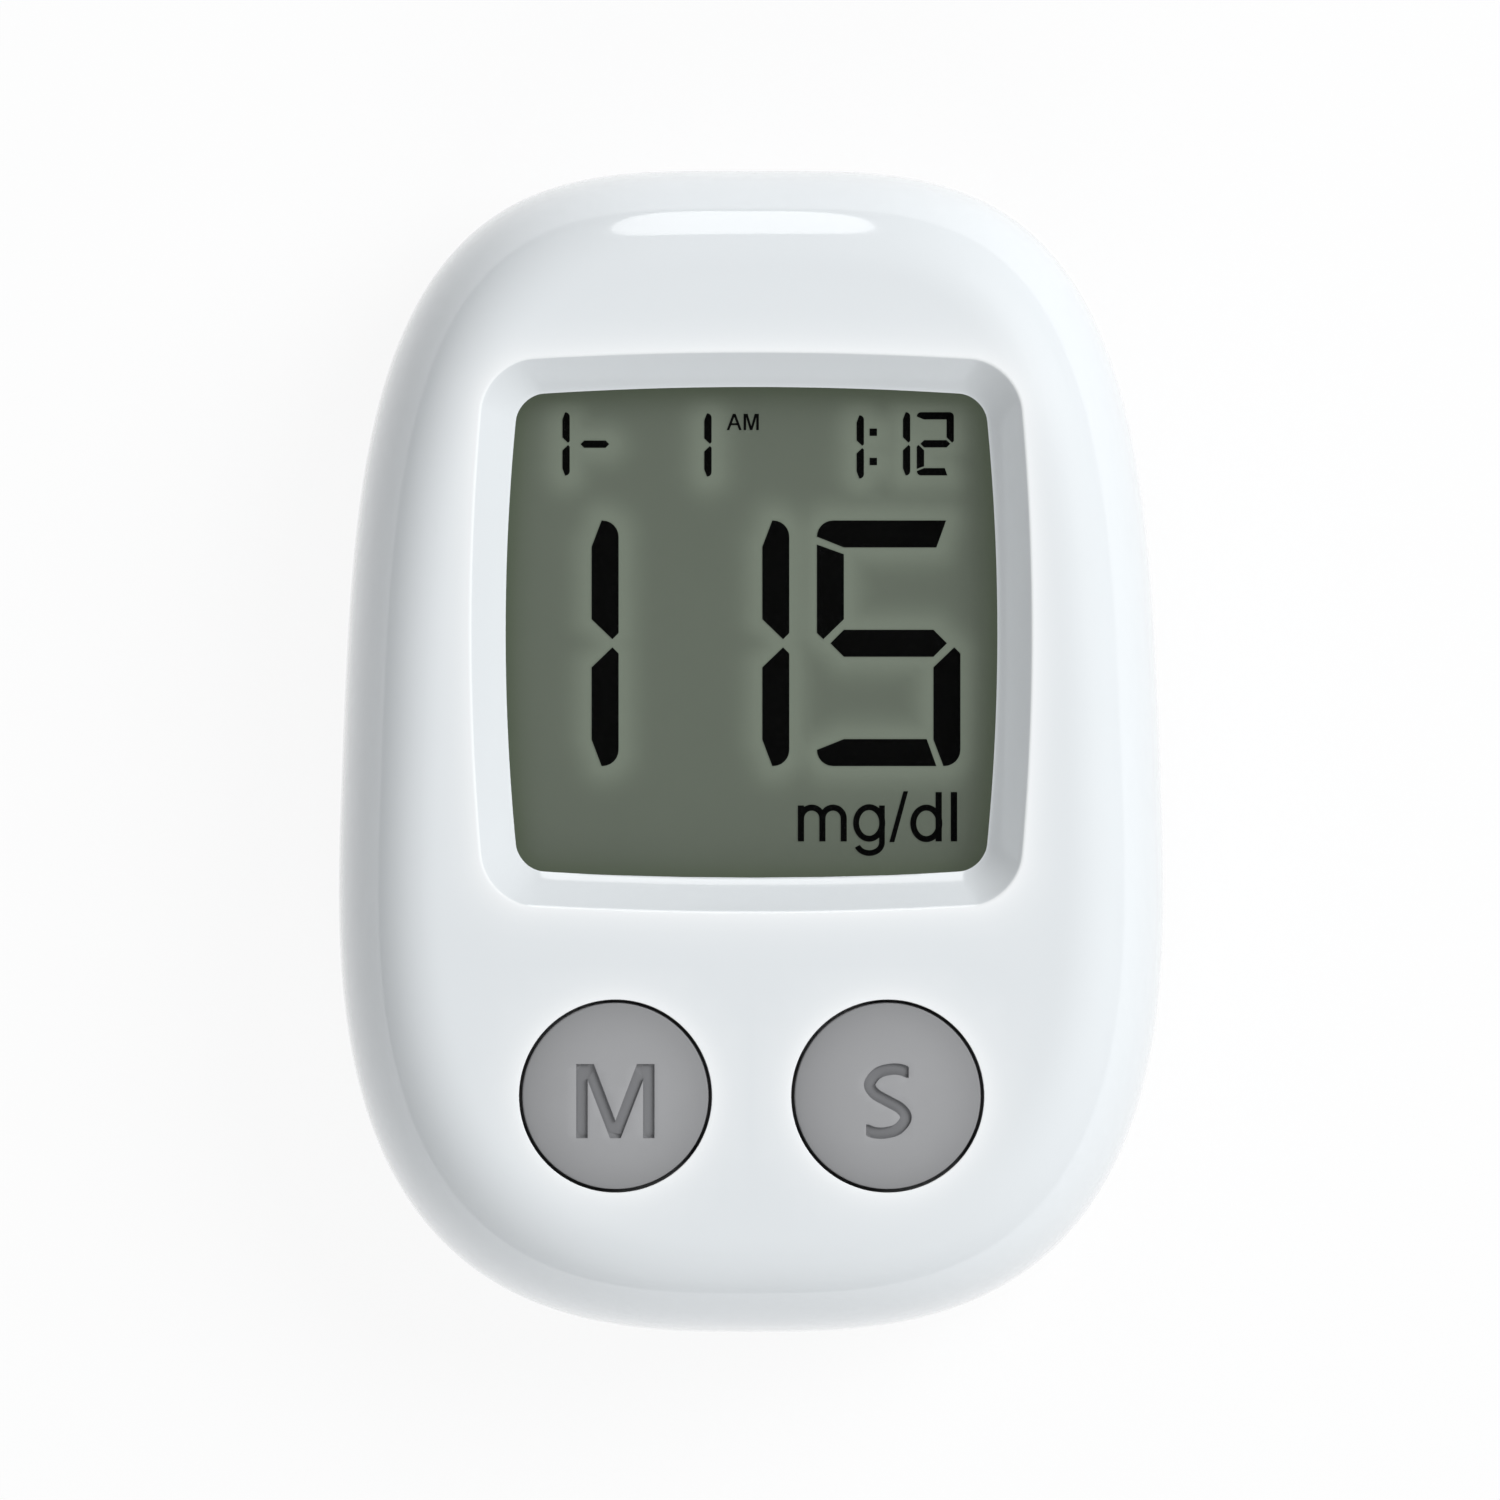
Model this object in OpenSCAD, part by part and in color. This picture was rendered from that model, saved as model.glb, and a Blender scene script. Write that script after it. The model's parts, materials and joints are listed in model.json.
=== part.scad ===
// Blood glucose meter in a pebble-shaped case, lying on its back, display end towards +Y.
// The origin is the middle of the flat back, and +Z comes out of the display.
// Everything behind the display hangs from the front cover. The battery bay stands on the rear one.

/* [Case] */
// Width of the case across its middle
body_w = 57.7; // [57:0.1:72]
// Length of the case
body_l = 82; // [81:0.5:100]
// Height of the case from its flat back to its flat front
body_h = 22; // [22:0.5:28]
// Thickness of the case walls
wall = 2; // [1.6:0.1:2.4]
// Height of the seam between the two covers
seam_z = 10.5; // [10:0.1:11]
// Squareness of the outline across its middle, 2 being an ellipse
square = 3.16; // [2.9:0.02:3.4]
// Squareness that the display end gains and the button end loses
square_shift = 0.3; // [0:0.02:0.4]
// Narrowing of the display end, as a share of the width
taper = 0.056; // [0:0.002:0.08]
// Width of the rolled edge around the front
front_roll = 7; // [5:0.5:8]
// Width of the rolled edge around the back
back_roll = 5.5; // [4:0.5:6]
// Fullness of the rolled edges, 2 being an ellipse
roll_full = 2.3; // [2:0.05:2.8]

/* [Window and display] */
// Width of the display window
window_w = 34.7; // [27:0.1:36]
// Height of the display window
window_h = 34.6; // [27:0.1:36]
// Distance from the display end to the window
window_end = 15.3; // [14.5:0.1:17]
// Corner radius of the window
window_r = 2.2; // [1:0.1:4]
// Outward bulge of the window's sides, as a share of half its size
window_bulge = 0.03; // [0:0.005:0.05]
// Width of the sloped wall around the window
bezel_run = 2.4; // [1.5:0.1:3]
// Depth of the sloped wall
bezel_depth = 2.4; // [2:0.1:2.5]
// Thickness of the clear display window
lens_t = 0.8; // [0.7:0.1:1]
// Reach of the clear window behind its frame
lens_lap = 2; // [1.5:0.1:2.2]
// Thickness of the tape that holds the clear window
tape_t = 0.2; // [0.1:0.05:0.3]
// Width of that tape
tape_w = 1.6; // [1:0.1:1.8]
// Thickness of each display glass
glass_t = 1; // [0.7:0.1:1.1]
// Reach of the display glass beyond the window
glass_lap = 1.15; // [0.8:0.05:1.4]
// Thickness of each polarising film
film_t = 0.2; // [0.1:0.05:0.25]
// Width of the contact ledge of the front glass
ledge = 2.5; // [2:0.1:3]
// Height of the large digits
digit_h = 17.3; // [12:0.1:18]

/* [Buttons] */
// Diameter of a button
button_d = 13.1; // [10:0.1:15.7]
// Distance between the two button centres
button_pitch = 19.1; // [19.1:0.1:22]
// Distance from the button end of the case to the button centres
button_end = 16.8; // [16.5:0.1:18]
// Gap around a button
button_gap = 0.2; // [0.12:0.02:0.3]
// Height of a button's edge above the case
button_rise = 0.1; // [0:0.05:0.5]
// Height of a button's crown above its edge
button_crown = 0.3; // [0.1:0.05:0.6]
// Travel of a button
travel = 0.8; // [0.5:0.05:0.85]
// Height of the letter on a button
letter_h = 5.2; // [3:0.1:6]
// Depth of the letter on a button
letter_depth = 0.25; // [0.1:0.05:0.5]

/* [Batteries and door] */
// Diameter of a battery cell
cell_d = 10.5; // [9:0.1:10.6]
// Length of a battery cell with its nub
cell_l = 44.5; // [36:0.1:45]
// Gap beside each battery cell
cell_gap = 0.4; // [0.3:0.05:0.6]
// Length of a compressed contact spring
spring_room = 4; // [3.5:0.1:5]
// Length left for a contact plate and its dimple
plate_room = 1.7; // [1.5:0.1:2]
// Thickness of the battery bay's walls
bay_wall = 1.2; // [1:0.1:1.5]
// Distance from the button end of the case to the inside of the bay
bay_end = 11.5; // [11:0.1:13]
// Thickness of the battery door
door_t = 1.6; // [1.2:0.1:2]
// Gap around the battery door
door_gap = 0.2; // [0.15:0.05:0.3]

/* [Board and strip port] */
// Thickness of the circuit board
board_t = 1; // [0.8:0.1:1.2]
// Distance from the case outline to the edge of the board
board_inset = 3.5; // [3.2:0.1:4]
// Width of the slot for a test strip
strip_w = 7; // [5:0.1:8]
// Height of the slot for a test strip
strip_h = 1.2; // [0.8:0.1:1.6]
// Width of the port insert
port_w = 14; // [12:0.1:16]
// Height of the port insert
port_h = 5; // [4:0.1:5.4]

/* [Screws] */
// Diameter of a case screw
case_screw_d = 2; // [1.6:0.1:2.2]
// Diameter of a board screw
board_screw_d = 1.6; // [1.4:0.1:1.8]

/* [Hidden] */
$fn = 64;

outline_n = 64;        // points around the case
roll_steps = 7;        // facets across a rolled edge
corner_steps = 6;      // points in a rounded corner
side_steps = 6;        // points along a bulged side
slip = 0.1;            // clearance between fixed pieces
tiny = 0.05;           // clearance under a stop
over = 1;              // reach of a cut past the face it opens
bond = 0.6;            // reach of a column, a sleeve or the rim into the wall that it stands on
lip_h = 1.1;           // height of the lip that lines the covers up
lip_root = 0.5;        // reach of that lip below the seam
bore_spare = 0.5;      // depth of a screw's hole past its tip

// Heights, from the front face down to the board
ceiling_z = body_h - wall;
frame_t = 0.5;         // what is left of the cover at the window's edge
frame_z = body_h - bezel_depth - frame_t;
lens_top = frame_z - tape_t;
lens_z = lens_top - lens_t;
film_gap = 0.3;        // air between the clear window and the display
film_top = lens_z - film_gap;
front_glass_top = film_top - film_t;
front_glass_z = front_glass_top - glass_t;
layer_t = 0.1;
rear_glass_top = front_glass_z - layer_t;
rear_glass_z = rear_glass_top - glass_t;
reflector_z = rear_glass_z - film_t;
board_top = reflector_z - slip;
board_z = board_top - board_t;

// The display, on the window's centre
window_y = body_l / 2 - window_end - window_h / 2;
lens_w = window_w + 2 * lens_lap;
lens_h = window_h + 2 * lens_lap;
lens_r = 3;
rim_wall = 1.1;
rim_lift = 0.4;        // height of the rim's lower edge above the clear window's back
glass_w = window_w + 2 * glass_lap;
glass_h = window_h + 2 * glass_lap;
glass_r = 0.5;
film_w = glass_w - 1.2;
film_h = glass_h - 1.2;
holder_wall = 1;
holder_top = lens_z - 2 * slip;
holder_w = glass_w + 2 * (slip + holder_wall);
holder_h = glass_h + ledge + 2 * (slip + holder_wall);
holder_y = window_y - ledge / 2;
seal_w = 0.8;

// The buttons and what is below them
button_r = button_d / 2;
button_hole_r = button_r + button_gap;
button_x = button_pitch / 2;
button_y = -body_l / 2 + button_end;
button_top = body_h + button_rise;
flange_r = button_r + 1.05;
flange_t = 1;
flange_top = ceiling_z - tiny;
flange_z = flange_top - flange_t;
sleeve_r = flange_r + 0.25;
sleeve_wall = 0.9;
sleeve_h = flange_t + travel + 1;
key_w = 1.2;
key_reach = 0.55;
foot_r = 2.5;
foot_z = flange_z - 0.4;
hollow_r = button_r - 1.2;
hollow_top = button_top - 1.4;
button_edge = 0.3;     // width of the slope around a button's crown
core_gap = 0.6;        // room between a button's foot and its hollow
letter_drop = 0.35;    // how far a letter sits below its button's centre
letter_t = letter_h * 0.155;
mat_t = 0.8;
dome_r = 5;
dome_web = 0.45;
dome_top_r = 3.1;
pill_r = 2;
pill_t = 0.6;
pill_z = board_top + travel + slip;
mat_edge = 1.2;

// The board and the columns that it hangs from
board_boss_r = 2.2;
board_screw_r = board_screw_d / 2;
board_screw_x = holder_w / 2 + 0.4 + board_boss_r;
board_screw_spots = [for (x = [-1, 1], y = [window_y - 2.4, button_y + 7.2]) [x * board_screw_x, y]];
board_head_r = board_screw_r * 2.4;
board_head_t = 1;
board_screw_l = 4.2;
board_screw_end = board_z + board_screw_l;

// The columns that join the two covers
case_boss_r = 2.8;
rear_boss_r = 3.1;
case_screw_r = case_screw_d / 2;
case_head_r = 2.1;
case_head_t = 1.5;
head_well_r = 2.4;
head_seat_z = 4;
case_screw_l = 12;
case_screw_gap = 0.25; // clearance around a case screw in the rear cover
slot_half = 0.2;       // half the width of a screw's cross slot
case_screw_end = head_seat_z + case_screw_l;
case_boss_top = body_h - 3.5;
case_boss_inset = 5.2;
upper_boss_angle = 67;
lower_boss_angle = -60;

// The battery bay, its cells and its door
cell_r = cell_d / 2;
cell_x = cell_r + cell_gap / 2;
cell_z = door_t + 0.2 + cell_r;
nub_r = 1.9;
nub_l = 1;
bay_w = 2 * cell_d + 3 * cell_gap;
bay_l = spring_room + cell_l + plate_room;
bay_y0 = -body_l / 2 + bay_end;
bay_y1 = bay_y0 + bay_l;
bay_z = cell_z + cell_r + 0.3;
bay_roof = 0.8;
door_lap = 1.6;
door_w = bay_w + 2 * door_lap;
door_y0 = bay_y0 - bay_wall - 2.4;
hinge_reach = 5.5;
hinge_y = bay_y1 + bay_wall + hinge_reach - door_t / 2;
hinge_z = door_t / 2;
door_y1 = hinge_y + door_t / 2;
door_seat = door_t + slip;
frame_wall = 1.4;
frame_top = wall + 1;
tab_w = 4;
tab_x = door_w / 2 - 4;
tab_t = 1;
tab_rise = wall + 0.4;
tab_room = 4.2;        // length of the slot that a hinge tab swings in
latch_w = 9;
latch_t = 0.9;
latch_top = 7;
latch_gap = 0.5;
latch_y0 = door_y0 - 3.4;

// Contacts of the bay
plate_t = 0.4;
plate_w = 8;
plate_h = 7;
tail_w = 2;
wire_d = 0.6;
coil_sides = 8;
coil_steps = 14;
coil_turns = 3;

// The strip port at the display end
port_z = seam_z;
port_face_y = body_l / 2 - 0.3;
port_back_y = body_l / 2 - wall - 1.4;
port_flange = 0.8;
port_lip_y = body_l / 2 - wall - 0.35;
connector_w = strip_w + 6;
connector_l = 13;
connector_y1 = port_back_y - slip;
connector_y0 = connector_y1 - connector_l;
connector_z = port_z - 2.5;
finger_n = 5;
finger_pitch = strip_w / 6;
finger_w = finger_pitch * 0.5;
groove_w = finger_pitch * 0.72;
finger_t = 0.2;

// Point of the case outline at a polar angle, moved inwards by an inset
function outline_point(angle, inset) =
    let (
        power = square + square_shift * sin(angle),
        across = pow(abs(cos(angle)) / (body_w / 2 - inset), power),
        along = pow(abs(sin(angle)) / (body_l / 2 - inset), power),
        reach = pow(across + along, -1 / power),
        y = reach * sin(angle)
    )
    [reach * cos(angle) * (1 - taper * y / (body_l / 2)), y];

function outline(inset) = [for (k = [0:outline_n - 1]) outline_point(360 * k / outline_n, inset)];

function at_height(points, z) = [for (p = points) [p.x, p.y, z]];

// Outline of a rolled edge, which starts upright at the seam and ends in a flat face
function roll_ring(step, flat_z, inset, roll) =
    let (
        angle = 90 * step / roll_steps,
        run = roll * (1 - pow(cos(angle), 2 / roll_full)),
        z = seam_z + (flat_z - seam_z) * pow(sin(angle), 2 / roll_full)
    )
    at_height(outline(inset + run), z);

function direction(angle) = [cos(angle), sin(angle)];

// Rounded rectangle with its points in order, and points along its sides for a bulge
function rounded(w, h, r) = [
    for (q = [0:3])
        let (
            sx = [1, -1, -1, 1][q],
            sy = [1, 1, -1, -1][q],
            c = [sx * (w / 2 - r), sy * (h / 2 - r)],
            side = q % 2 == 0 ? w - 2 * r : h - 2 * r,
            way = [[-1, 0], [0, -1], [1, 0], [0, 1]][q]
        )
        each concat(
            [for (k = [0:corner_steps]) c + r * direction(90 * (q + k / corner_steps))],
            [for (k = [1:side_steps - 1]) c + r * direction(90 * (q + 1)) + way * side * k / side_steps]
        )
];

// The same with sides that bulge like a barrel's
function barrel(w, h, r, bulge) = [
    for (p = rounded(w, h, r))
        [p.x * (1 - bulge * pow(2 * p.y / h, 2)), p.y * (1 - bulge * pow(2 * p.x / w, 2))]
];

// Strip of even thickness along a path, for bent sheet and for letters
function side_of(path, k) =
    let (
        a = path[max(k - 1, 0)],
        b = path[min(k + 1, len(path) - 1)],
        d = (b - a) / norm(b - a)
    )
    [-d.y, d.x];

function ribbon(path, t) = concat(
    [for (k = [0:len(path) - 1]) path[k] + side_of(path, k) * t / 2],
    [for (k = [len(path) - 1:-1:0]) path[k] - side_of(path, k) * t / 2]
);

function arc(c, r, from, to, steps) =
    [for (k = [0:steps]) c + r * direction(from + (to - from) * k / steps)];

// Closed solid through rings of equally many points, from the lowest to the highest
module loft(rings) {
    n = len(rings[0]);
    m = len(rings);
    ends = [[for (i = [0:n - 1]) i], [for (i = [n - 1:-1:0]) (m - 1) * n + i]];
    sides = [
        for (j = [0:m - 2], i = [0:n - 1])
            let (a = j * n + i, b = j * n + (i + 1) % n)
            each [[a, a + n, b + n], [a, b + n, b]]
    ];
    polyhedron(points = [for (r = rings) each r], faces = concat(ends, sides));
}

// Upper half of a pebble, from the seam to a flat front
module front_pebble(flat_z, inset, start_z) {
    base = at_height(outline(inset), start_z);
    rings = [for (k = [0:roll_steps]) roll_ring(k, flat_z, inset, front_roll)];
    loft(start_z < seam_z ? concat([base], rings) : rings);
}

// Lower half of a pebble, from a flat back to the seam
module rear_pebble(flat_z, inset, end_z) {
    top = at_height(outline(inset), end_z);
    rings = [for (k = [roll_steps:-1:0]) roll_ring(k, flat_z, inset, back_roll)];
    loft(end_z > seam_z ? concat(rings, [top]) : rings);
}

// Band inside the case outline, for the lip that lines the two covers up
module outline_band(outer_inset, inner_inset, z0, z1) {
    translate([0, 0, z0])
        linear_extrude(z1 - z0)
            difference() {
                polygon(outline(outer_inset));
                polygon(outline(inner_inset));
            }
}

// Straight block with rounded corners, centred on a point in plan
module plate(center, w, h, r, z0, z1) {
    translate([center.x, center.y, z0])
        linear_extrude(z1 - z0)
            polygon(rounded(w, h, r));
}

module box(x, y, z) {
    translate([x[0], y[0], z[0]])
        cube([x[1] - x[0], y[1] - y[0], z[1] - z[0]]);
}

module rod(center, r, z0, z1) {
    translate([center.x, center.y, z0])
        cylinder(r = r, h = z1 - z0);
}

module both_sides() {
    children();
    mirror([1, 0, 0]) children();
}

module at_case_bosses() {
    for (angle = [upper_boss_angle, lower_boss_angle])
        both_sides()
            translate(concat(outline_point(angle, case_boss_inset), 0))
                children();
}

module at_board_screws() {
    for (p = board_screw_spots)
        translate([p.x, p.y, 0])
            children();
}

module at_buttons() {
    both_sides()
        translate([button_x, button_y, 0])
            children();
}

// Hole through both covers for the port insert
module port_hole() {
    box([-port_w / 2 - slip, port_w / 2 + slip],
        [port_lip_y - over, body_l / 2 + over],
        [port_z - port_h / 2 - slip, port_z + port_h / 2 + slip]);
}

// Room behind the wall for the flange of the port insert
module port_flange_room() {
    w = port_w / 2 + port_flange + slip;
    h = port_h / 2 + port_flange + slip;
    box([-w, w], [connector_y0, port_lip_y + slip], [port_z - h, port_z + h]);
}

// The rounded shell with its display window, button sleeves and screw columns
module front_cover() {
    color("white")
        difference() {
            union() {
                difference() {
                    front_pebble(body_h, 0, seam_z);
                    front_pebble(ceiling_z, wall, seam_z - over);
                }
                window_rim();
                at_buttons() rod([0, 0], sleeve_r + sleeve_wall, ceiling_z - sleeve_h, ceiling_z + bond);
                at_case_bosses() rod([0, 0], case_boss_r, seam_z + slip, case_boss_top);
                at_board_screws() rod([0, 0], board_boss_r, board_top, ceiling_z + bond);
            }
            window_cut();
            at_buttons() button_well();
            at_case_bosses() rod([0, 0], case_screw_r + tiny, seam_z - over, case_screw_end + bore_spare);
            at_board_screws() rod([0, 0], board_screw_r + tiny, board_z, board_screw_end + bore_spare);
            outline_band(wall / 2 - slip / 2, wall + slip, seam_z - over, seam_z + lip_h + slip);
            port_hole();
            port_flange_room();
        }
}

// Rim that holds the clear window, and the frame that it is taped to
module window_rim() {
    w = lens_w + 2 * (slip + rim_wall);
    h = lens_h + 2 * (slip + rim_wall);
    plate([0, window_y], w, h, lens_r + rim_wall, lens_z + rim_lift, ceiling_z + bond);
}

// The window itself: sloped wall, straight land, and the pocket of the clear window
module window_cut() {
    land_z = body_h - bezel_depth;
    spread = 2 * bezel_run * (1 + over / bezel_depth);
    translate([0, window_y, 0]) {
        loft([
            at_height(barrel(window_w, window_h, window_r, window_bulge), land_z),
            at_height(barrel(window_w + spread, window_h + spread, window_r + spread / 3, window_bulge),
                body_h + over)
        ]);
        translate([0, 0, frame_z - over])
            linear_extrude(land_z - frame_z + 2 * over)
                polygon(barrel(window_w, window_h, window_r, window_bulge));
    }
    plate([0, window_y], lens_w + 2 * slip, lens_h + 2 * slip, lens_r, lens_z - over, frame_z);
    plate([0, holder_y], holder_w + 4 * slip, holder_h + 4 * slip, 1, board_top, holder_top + slip);
}

// Hole and well of one button, less the key that stops it from turning
module button_well() {
    rod([0, 0], button_hole_r, ceiling_z - over, body_h + over);
    difference() {
        rod([0, 0], sleeve_r, ceiling_z - sleeve_h - over, ceiling_z);
        box([-key_w / 2, key_w / 2], [sleeve_r - key_reach, sleeve_r + over], [0, body_h]);
    }
}

// The back shell with the battery bay, the door's seat and the screw columns
module rear_cover() {
    color("gainsboro")
        difference() {
            union() {
                difference() {
                    rear_pebble(0, 0, seam_z);
                    rear_pebble(wall, wall, seam_z + over);
                }
                outline_band(wall / 2 + slip / 2, wall, seam_z - lip_root, seam_z + lip_h);
                bay_block();
                door_frame();
                at_case_bosses() rod([0, 0], rear_boss_r, wall - slip, seam_z);
            }
            bay_cut();
            latch_cut();
            hinge_slots();
            at_case_bosses() rod([0, 0], head_well_r, -over, head_seat_z);
            at_case_bosses() rod([0, 0], case_screw_r + case_screw_gap, head_seat_z - over, seam_z + over);
            port_hole();
            port_flange_room();
        }
}

module bay_block() {
    w = bay_w / 2 + bay_wall;
    box([-w, w], [bay_y0 - bay_wall, bay_y1 + bay_wall], [wall / 2, bay_z + bay_roof]);
}

// Thicker ring of floor around the battery door
module door_frame() {
    plate([0, (door_y0 + door_y1) / 2], door_w + 2 * frame_wall, door_y1 - door_y0 + 2 * frame_wall,
        2, wall / 2, frame_top);
    w = latch_w / 2 + latch_gap + bay_wall;
    box([-w, w], [latch_y0 - latch_gap - bay_wall, bay_y0], [wall / 2, latch_top + latch_gap + bay_wall]);
}

module bay_cut() {
    box([-bay_w / 2, bay_w / 2], [bay_y0, bay_y1], [-over, bay_z]);
    box([-door_w / 2 - door_gap, door_w / 2 + door_gap], [door_y0 - door_gap, door_y1 + door_gap],
        [-over, door_seat]);
    for (x = [-cell_x, cell_x])
        box([x - tail_w / 2 - slip, x + tail_w / 2 + slip], [bay_y1 - plate_t - 2 * slip, bay_y1],
            [bay_z - over, bay_z + bay_roof + over]);
}

// Pocket that the door's finger latch springs in
module latch_cut() {
    w = latch_w / 2 + latch_gap;
    box([-w, w], [latch_y0 - latch_gap, bay_y0 - bay_wall], [-over, latch_top + latch_gap]);
}

// Slots that the door's two hinge tabs swing in
module hinge_slots() {
    both_sides()
        translate([tab_x, 0, 0]) {
            w = tab_w / 2 + door_gap;
            box([-w, w], [bay_y1 + bay_wall, door_y1 + door_gap], [-over, frame_top + over]);
            box([-w, w], [hinge_y, hinge_y + tab_room], [wall, frame_top + over]);
        }
}

// The door, with two hinge tabs at one end and a finger latch at the other
module battery_door() {
    color("white")
        union() {
            difference() {
                box([-door_w / 2, door_w / 2], [door_y0, hinge_y], [0, door_t]);
                grip_lines();
            }
            translate([-door_w / 2, hinge_y, hinge_z])
                rotate([0, 90, 0])
                    cylinder(r = door_t / 2, h = door_w);
            both_sides()
                translate([tab_x - tab_w / 2, 0, 0])
                    rotate([90, 0, 90])
                        linear_extrude(tab_w)
                            polygon(hinge_tab());
            translate([-latch_w / 2, 0, 0])
                rotate([90, 0, 90])
                    linear_extrude(latch_w)
                        polygon(latch_profile());
        }
}

// Side view of a hinge tab: a post inside the door and a foot over the edge of the cover
function hinge_tab() = [
    [hinge_y - 3, door_t - 0.2],
    [hinge_y - 1, door_t - 0.2],
    [hinge_y - 1, tab_rise],
    [hinge_y + 2.6, tab_rise],
    [hinge_y + 2.6, tab_rise + tab_t * 0.7],
    [hinge_y + 2.2, tab_rise + tab_t],
    [hinge_y - 3, tab_rise + tab_t]
];

// Side view of the finger latch: up from the door, over in a bend, and down to the thumb ledge
function latch_profile() =
    let (
        bend_r = (door_y0 - latch_y0) / 2,
        bend = [latch_y0 + latch_t / 2 + bend_r, latch_top - latch_t / 2 - bend_r],
        inner = [bend.x + bend_r, door_t / 2],
        outer = [bend.x - bend_r, 0.5]
    )
    ribbon(concat([inner], arc(bend, bend_r, 0, 180, 10), [outer]), latch_t);

// Shallow grooves beside the latch, for the thumb
module grip_lines() {
    for (k = [0:3])
        translate([0, door_y0 + 3 + 1.6 * k, 0])
            rotate([0, 90, 0])
                cylinder(r = 0.35, h = 12, center = true);
}

// Clear window behind the sloped wall
module display_window() {
    color("whitesmoke", 0.4)
        plate([0, window_y], lens_w, lens_h, lens_r, lens_z, lens_top);
}

// Ring of double-sided tape between the clear window and its frame
module window_tape() {
    color("dimgray")
        difference() {
            plate([0, window_y], lens_w, lens_h, lens_r, lens_top, frame_z);
            plate([0, window_y], lens_w - 2 * tape_w, lens_h - 2 * tape_w, lens_r - 1,
                lens_top - over, frame_z + over);
        }
}

module front_polariser() {
    color("darkseagreen", 0.5)
        plate([0, window_y], film_w, film_h, glass_r, front_glass_top, film_top);
}

// Front glass, longer than the rear one by the ledge that carries its contacts
module display_front_glass() {
    color("lightcyan", 0.5)
        plate([0, holder_y], glass_w, glass_h + ledge, glass_r, front_glass_z, front_glass_top);
}

module display_rear_glass() {
    color("lightcyan", 0.5)
        plate([0, window_y], glass_w, glass_h, glass_r, rear_glass_z, rear_glass_top);
}

module rear_reflector() {
    color("darkseagreen")
        plate([0, window_y], film_w, film_h, glass_r, reflector_z, rear_glass_z);
}

// Seal around the liquid crystal, between the two glasses
module display_seal() {
    color("tan")
        difference() {
            plate([0, window_y], glass_w, glass_h, glass_r, rear_glass_top, front_glass_z);
            plate([0, window_y], glass_w - 2 * seal_w, glass_h - 2 * seal_w, glass_r,
                rear_glass_top - over, front_glass_z + over);
        }
}

// The dark segments of the liquid crystal: a date, a time and a reading
module display_segments() {
    big_t = digit_h * 0.11;
    big_w = digit_h * 0.58;
    pitch = digit_h * 0.695;
    big_x = window_w / 2 - 2.65 - big_w;
    big_y = window_y - digit_h / 2 - 0.8;
    small_h = digit_h * 0.256;
    small_t = small_h * 0.12;
    small_w = small_h * 0.58;
    small_y = window_y + window_h / 2 - 1.8 - small_h;
    color("black")
        translate([0, 0, rear_glass_top])
            linear_extrude(layer_t) {
                translate([big_x, big_y]) digit(5, big_w, digit_h, big_t);
                for (k = [1, 2])
                    translate([big_x - k * pitch, big_y]) digit(1, big_w, digit_h, big_t);
                for (x = [-15.3, -5.5, 5.3, 8.6])
                    translate([x, small_y]) digit(1, small_w, small_h, small_t);
                translate([11.7, small_y]) digit(2, small_w, small_h, small_t);
                translate([-12, small_y]) digit("-", small_w * 0.8, small_h, small_t);
                for (y = [0.26, 0.7])
                    translate([8.3, small_y + y * small_h]) square(small_t * 1.1);
            }
}

// One seven-segment figure, with its lower left corner at the origin
module digit(figure, w, h, t) {
    low = t / 2;
    mid = h / 2;
    high = h - t / 2;
    left = t / 2;
    right = w - t / 2;
    lit = figure == 1 ? "bc" : figure == 2 ? "abged" : figure == 5 ? "afgcd" : "g";
    bars = [
        ["a", [left, high], [right, high]],
        ["b", [right, mid], [right, high]],
        ["c", [right, low], [right, mid]],
        ["d", [left, low], [right, low]],
        ["e", [left, low], [left, mid]],
        ["f", [left, mid], [left, high]],
        ["g", [left, mid], [right, mid]]
    ];
    for (bar = bars)
        if (len(search(bar[0], lit)) > 0)
            segment(bar[1], bar[2], t);
}

// One pointed bar of a figure
module segment(a, b, t) {
    d = (b - a) / norm(b - a);
    s = [-d.y, d.x] * t / 2;
    p = a + d * t * 0.08;
    q = b - d * t * 0.08;
    e = d * t / 2;
    polygon([p, p + e - s, q - e - s, q, q - e + s, p + e + s]);
}

// Frame that clamps the display to the board
module display_holder() {
    color("white")
        difference() {
            plate([0, holder_y], holder_w, holder_h, 1, board_top, holder_top);
            plate([0, holder_y], glass_w + 2 * slip, glass_h + ledge + 2 * slip, glass_r,
                board_top - over, front_glass_top);
            plate([0, window_y], film_w + 2 * slip, film_h + 2 * slip, glass_r,
                front_glass_top - over, holder_top + over);
        }
}

// Striped rubber that joins the glass's contact ledge to the board
module zebra_connector() {
    y = window_y - glass_h / 2 - ledge / 2;
    color("dimgray")
        box([-glass_w / 2 + 1.5, glass_w / 2 - 1.5], [y - 0.95, y + 0.95], [board_top, front_glass_z]);
}

// One button at the origin: crowned cap, flange under the cover, and a foot for the dome
module button_body() {
    difference() {
        union() {
            rotate_extrude()
                polygon(concat(
                    [[0, flange_z], [flange_r, flange_z], [flange_r, flange_top], [button_r, flange_top],
                     [button_r, button_top - button_edge]],
                    [for (k = [0:6]) let (r = (button_r - button_edge) * (1 - k / 6))
                        [r, button_top + button_crown * (1 - pow(r / button_r, 2))]]
                ));
            rod([0, 0], foot_r, foot_z, flange_top);
        }
        difference() {
            rod([0, 0], hollow_r, flange_z - over, hollow_top);
            rod([0, 0], foot_r + core_gap, foot_z - over, body_h);
        }
        box([-key_w / 2 - slip, key_w / 2 + slip], [flange_r - key_reach, flange_r + over],
            [flange_z - over, flange_top + over]);
    }
}

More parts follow.
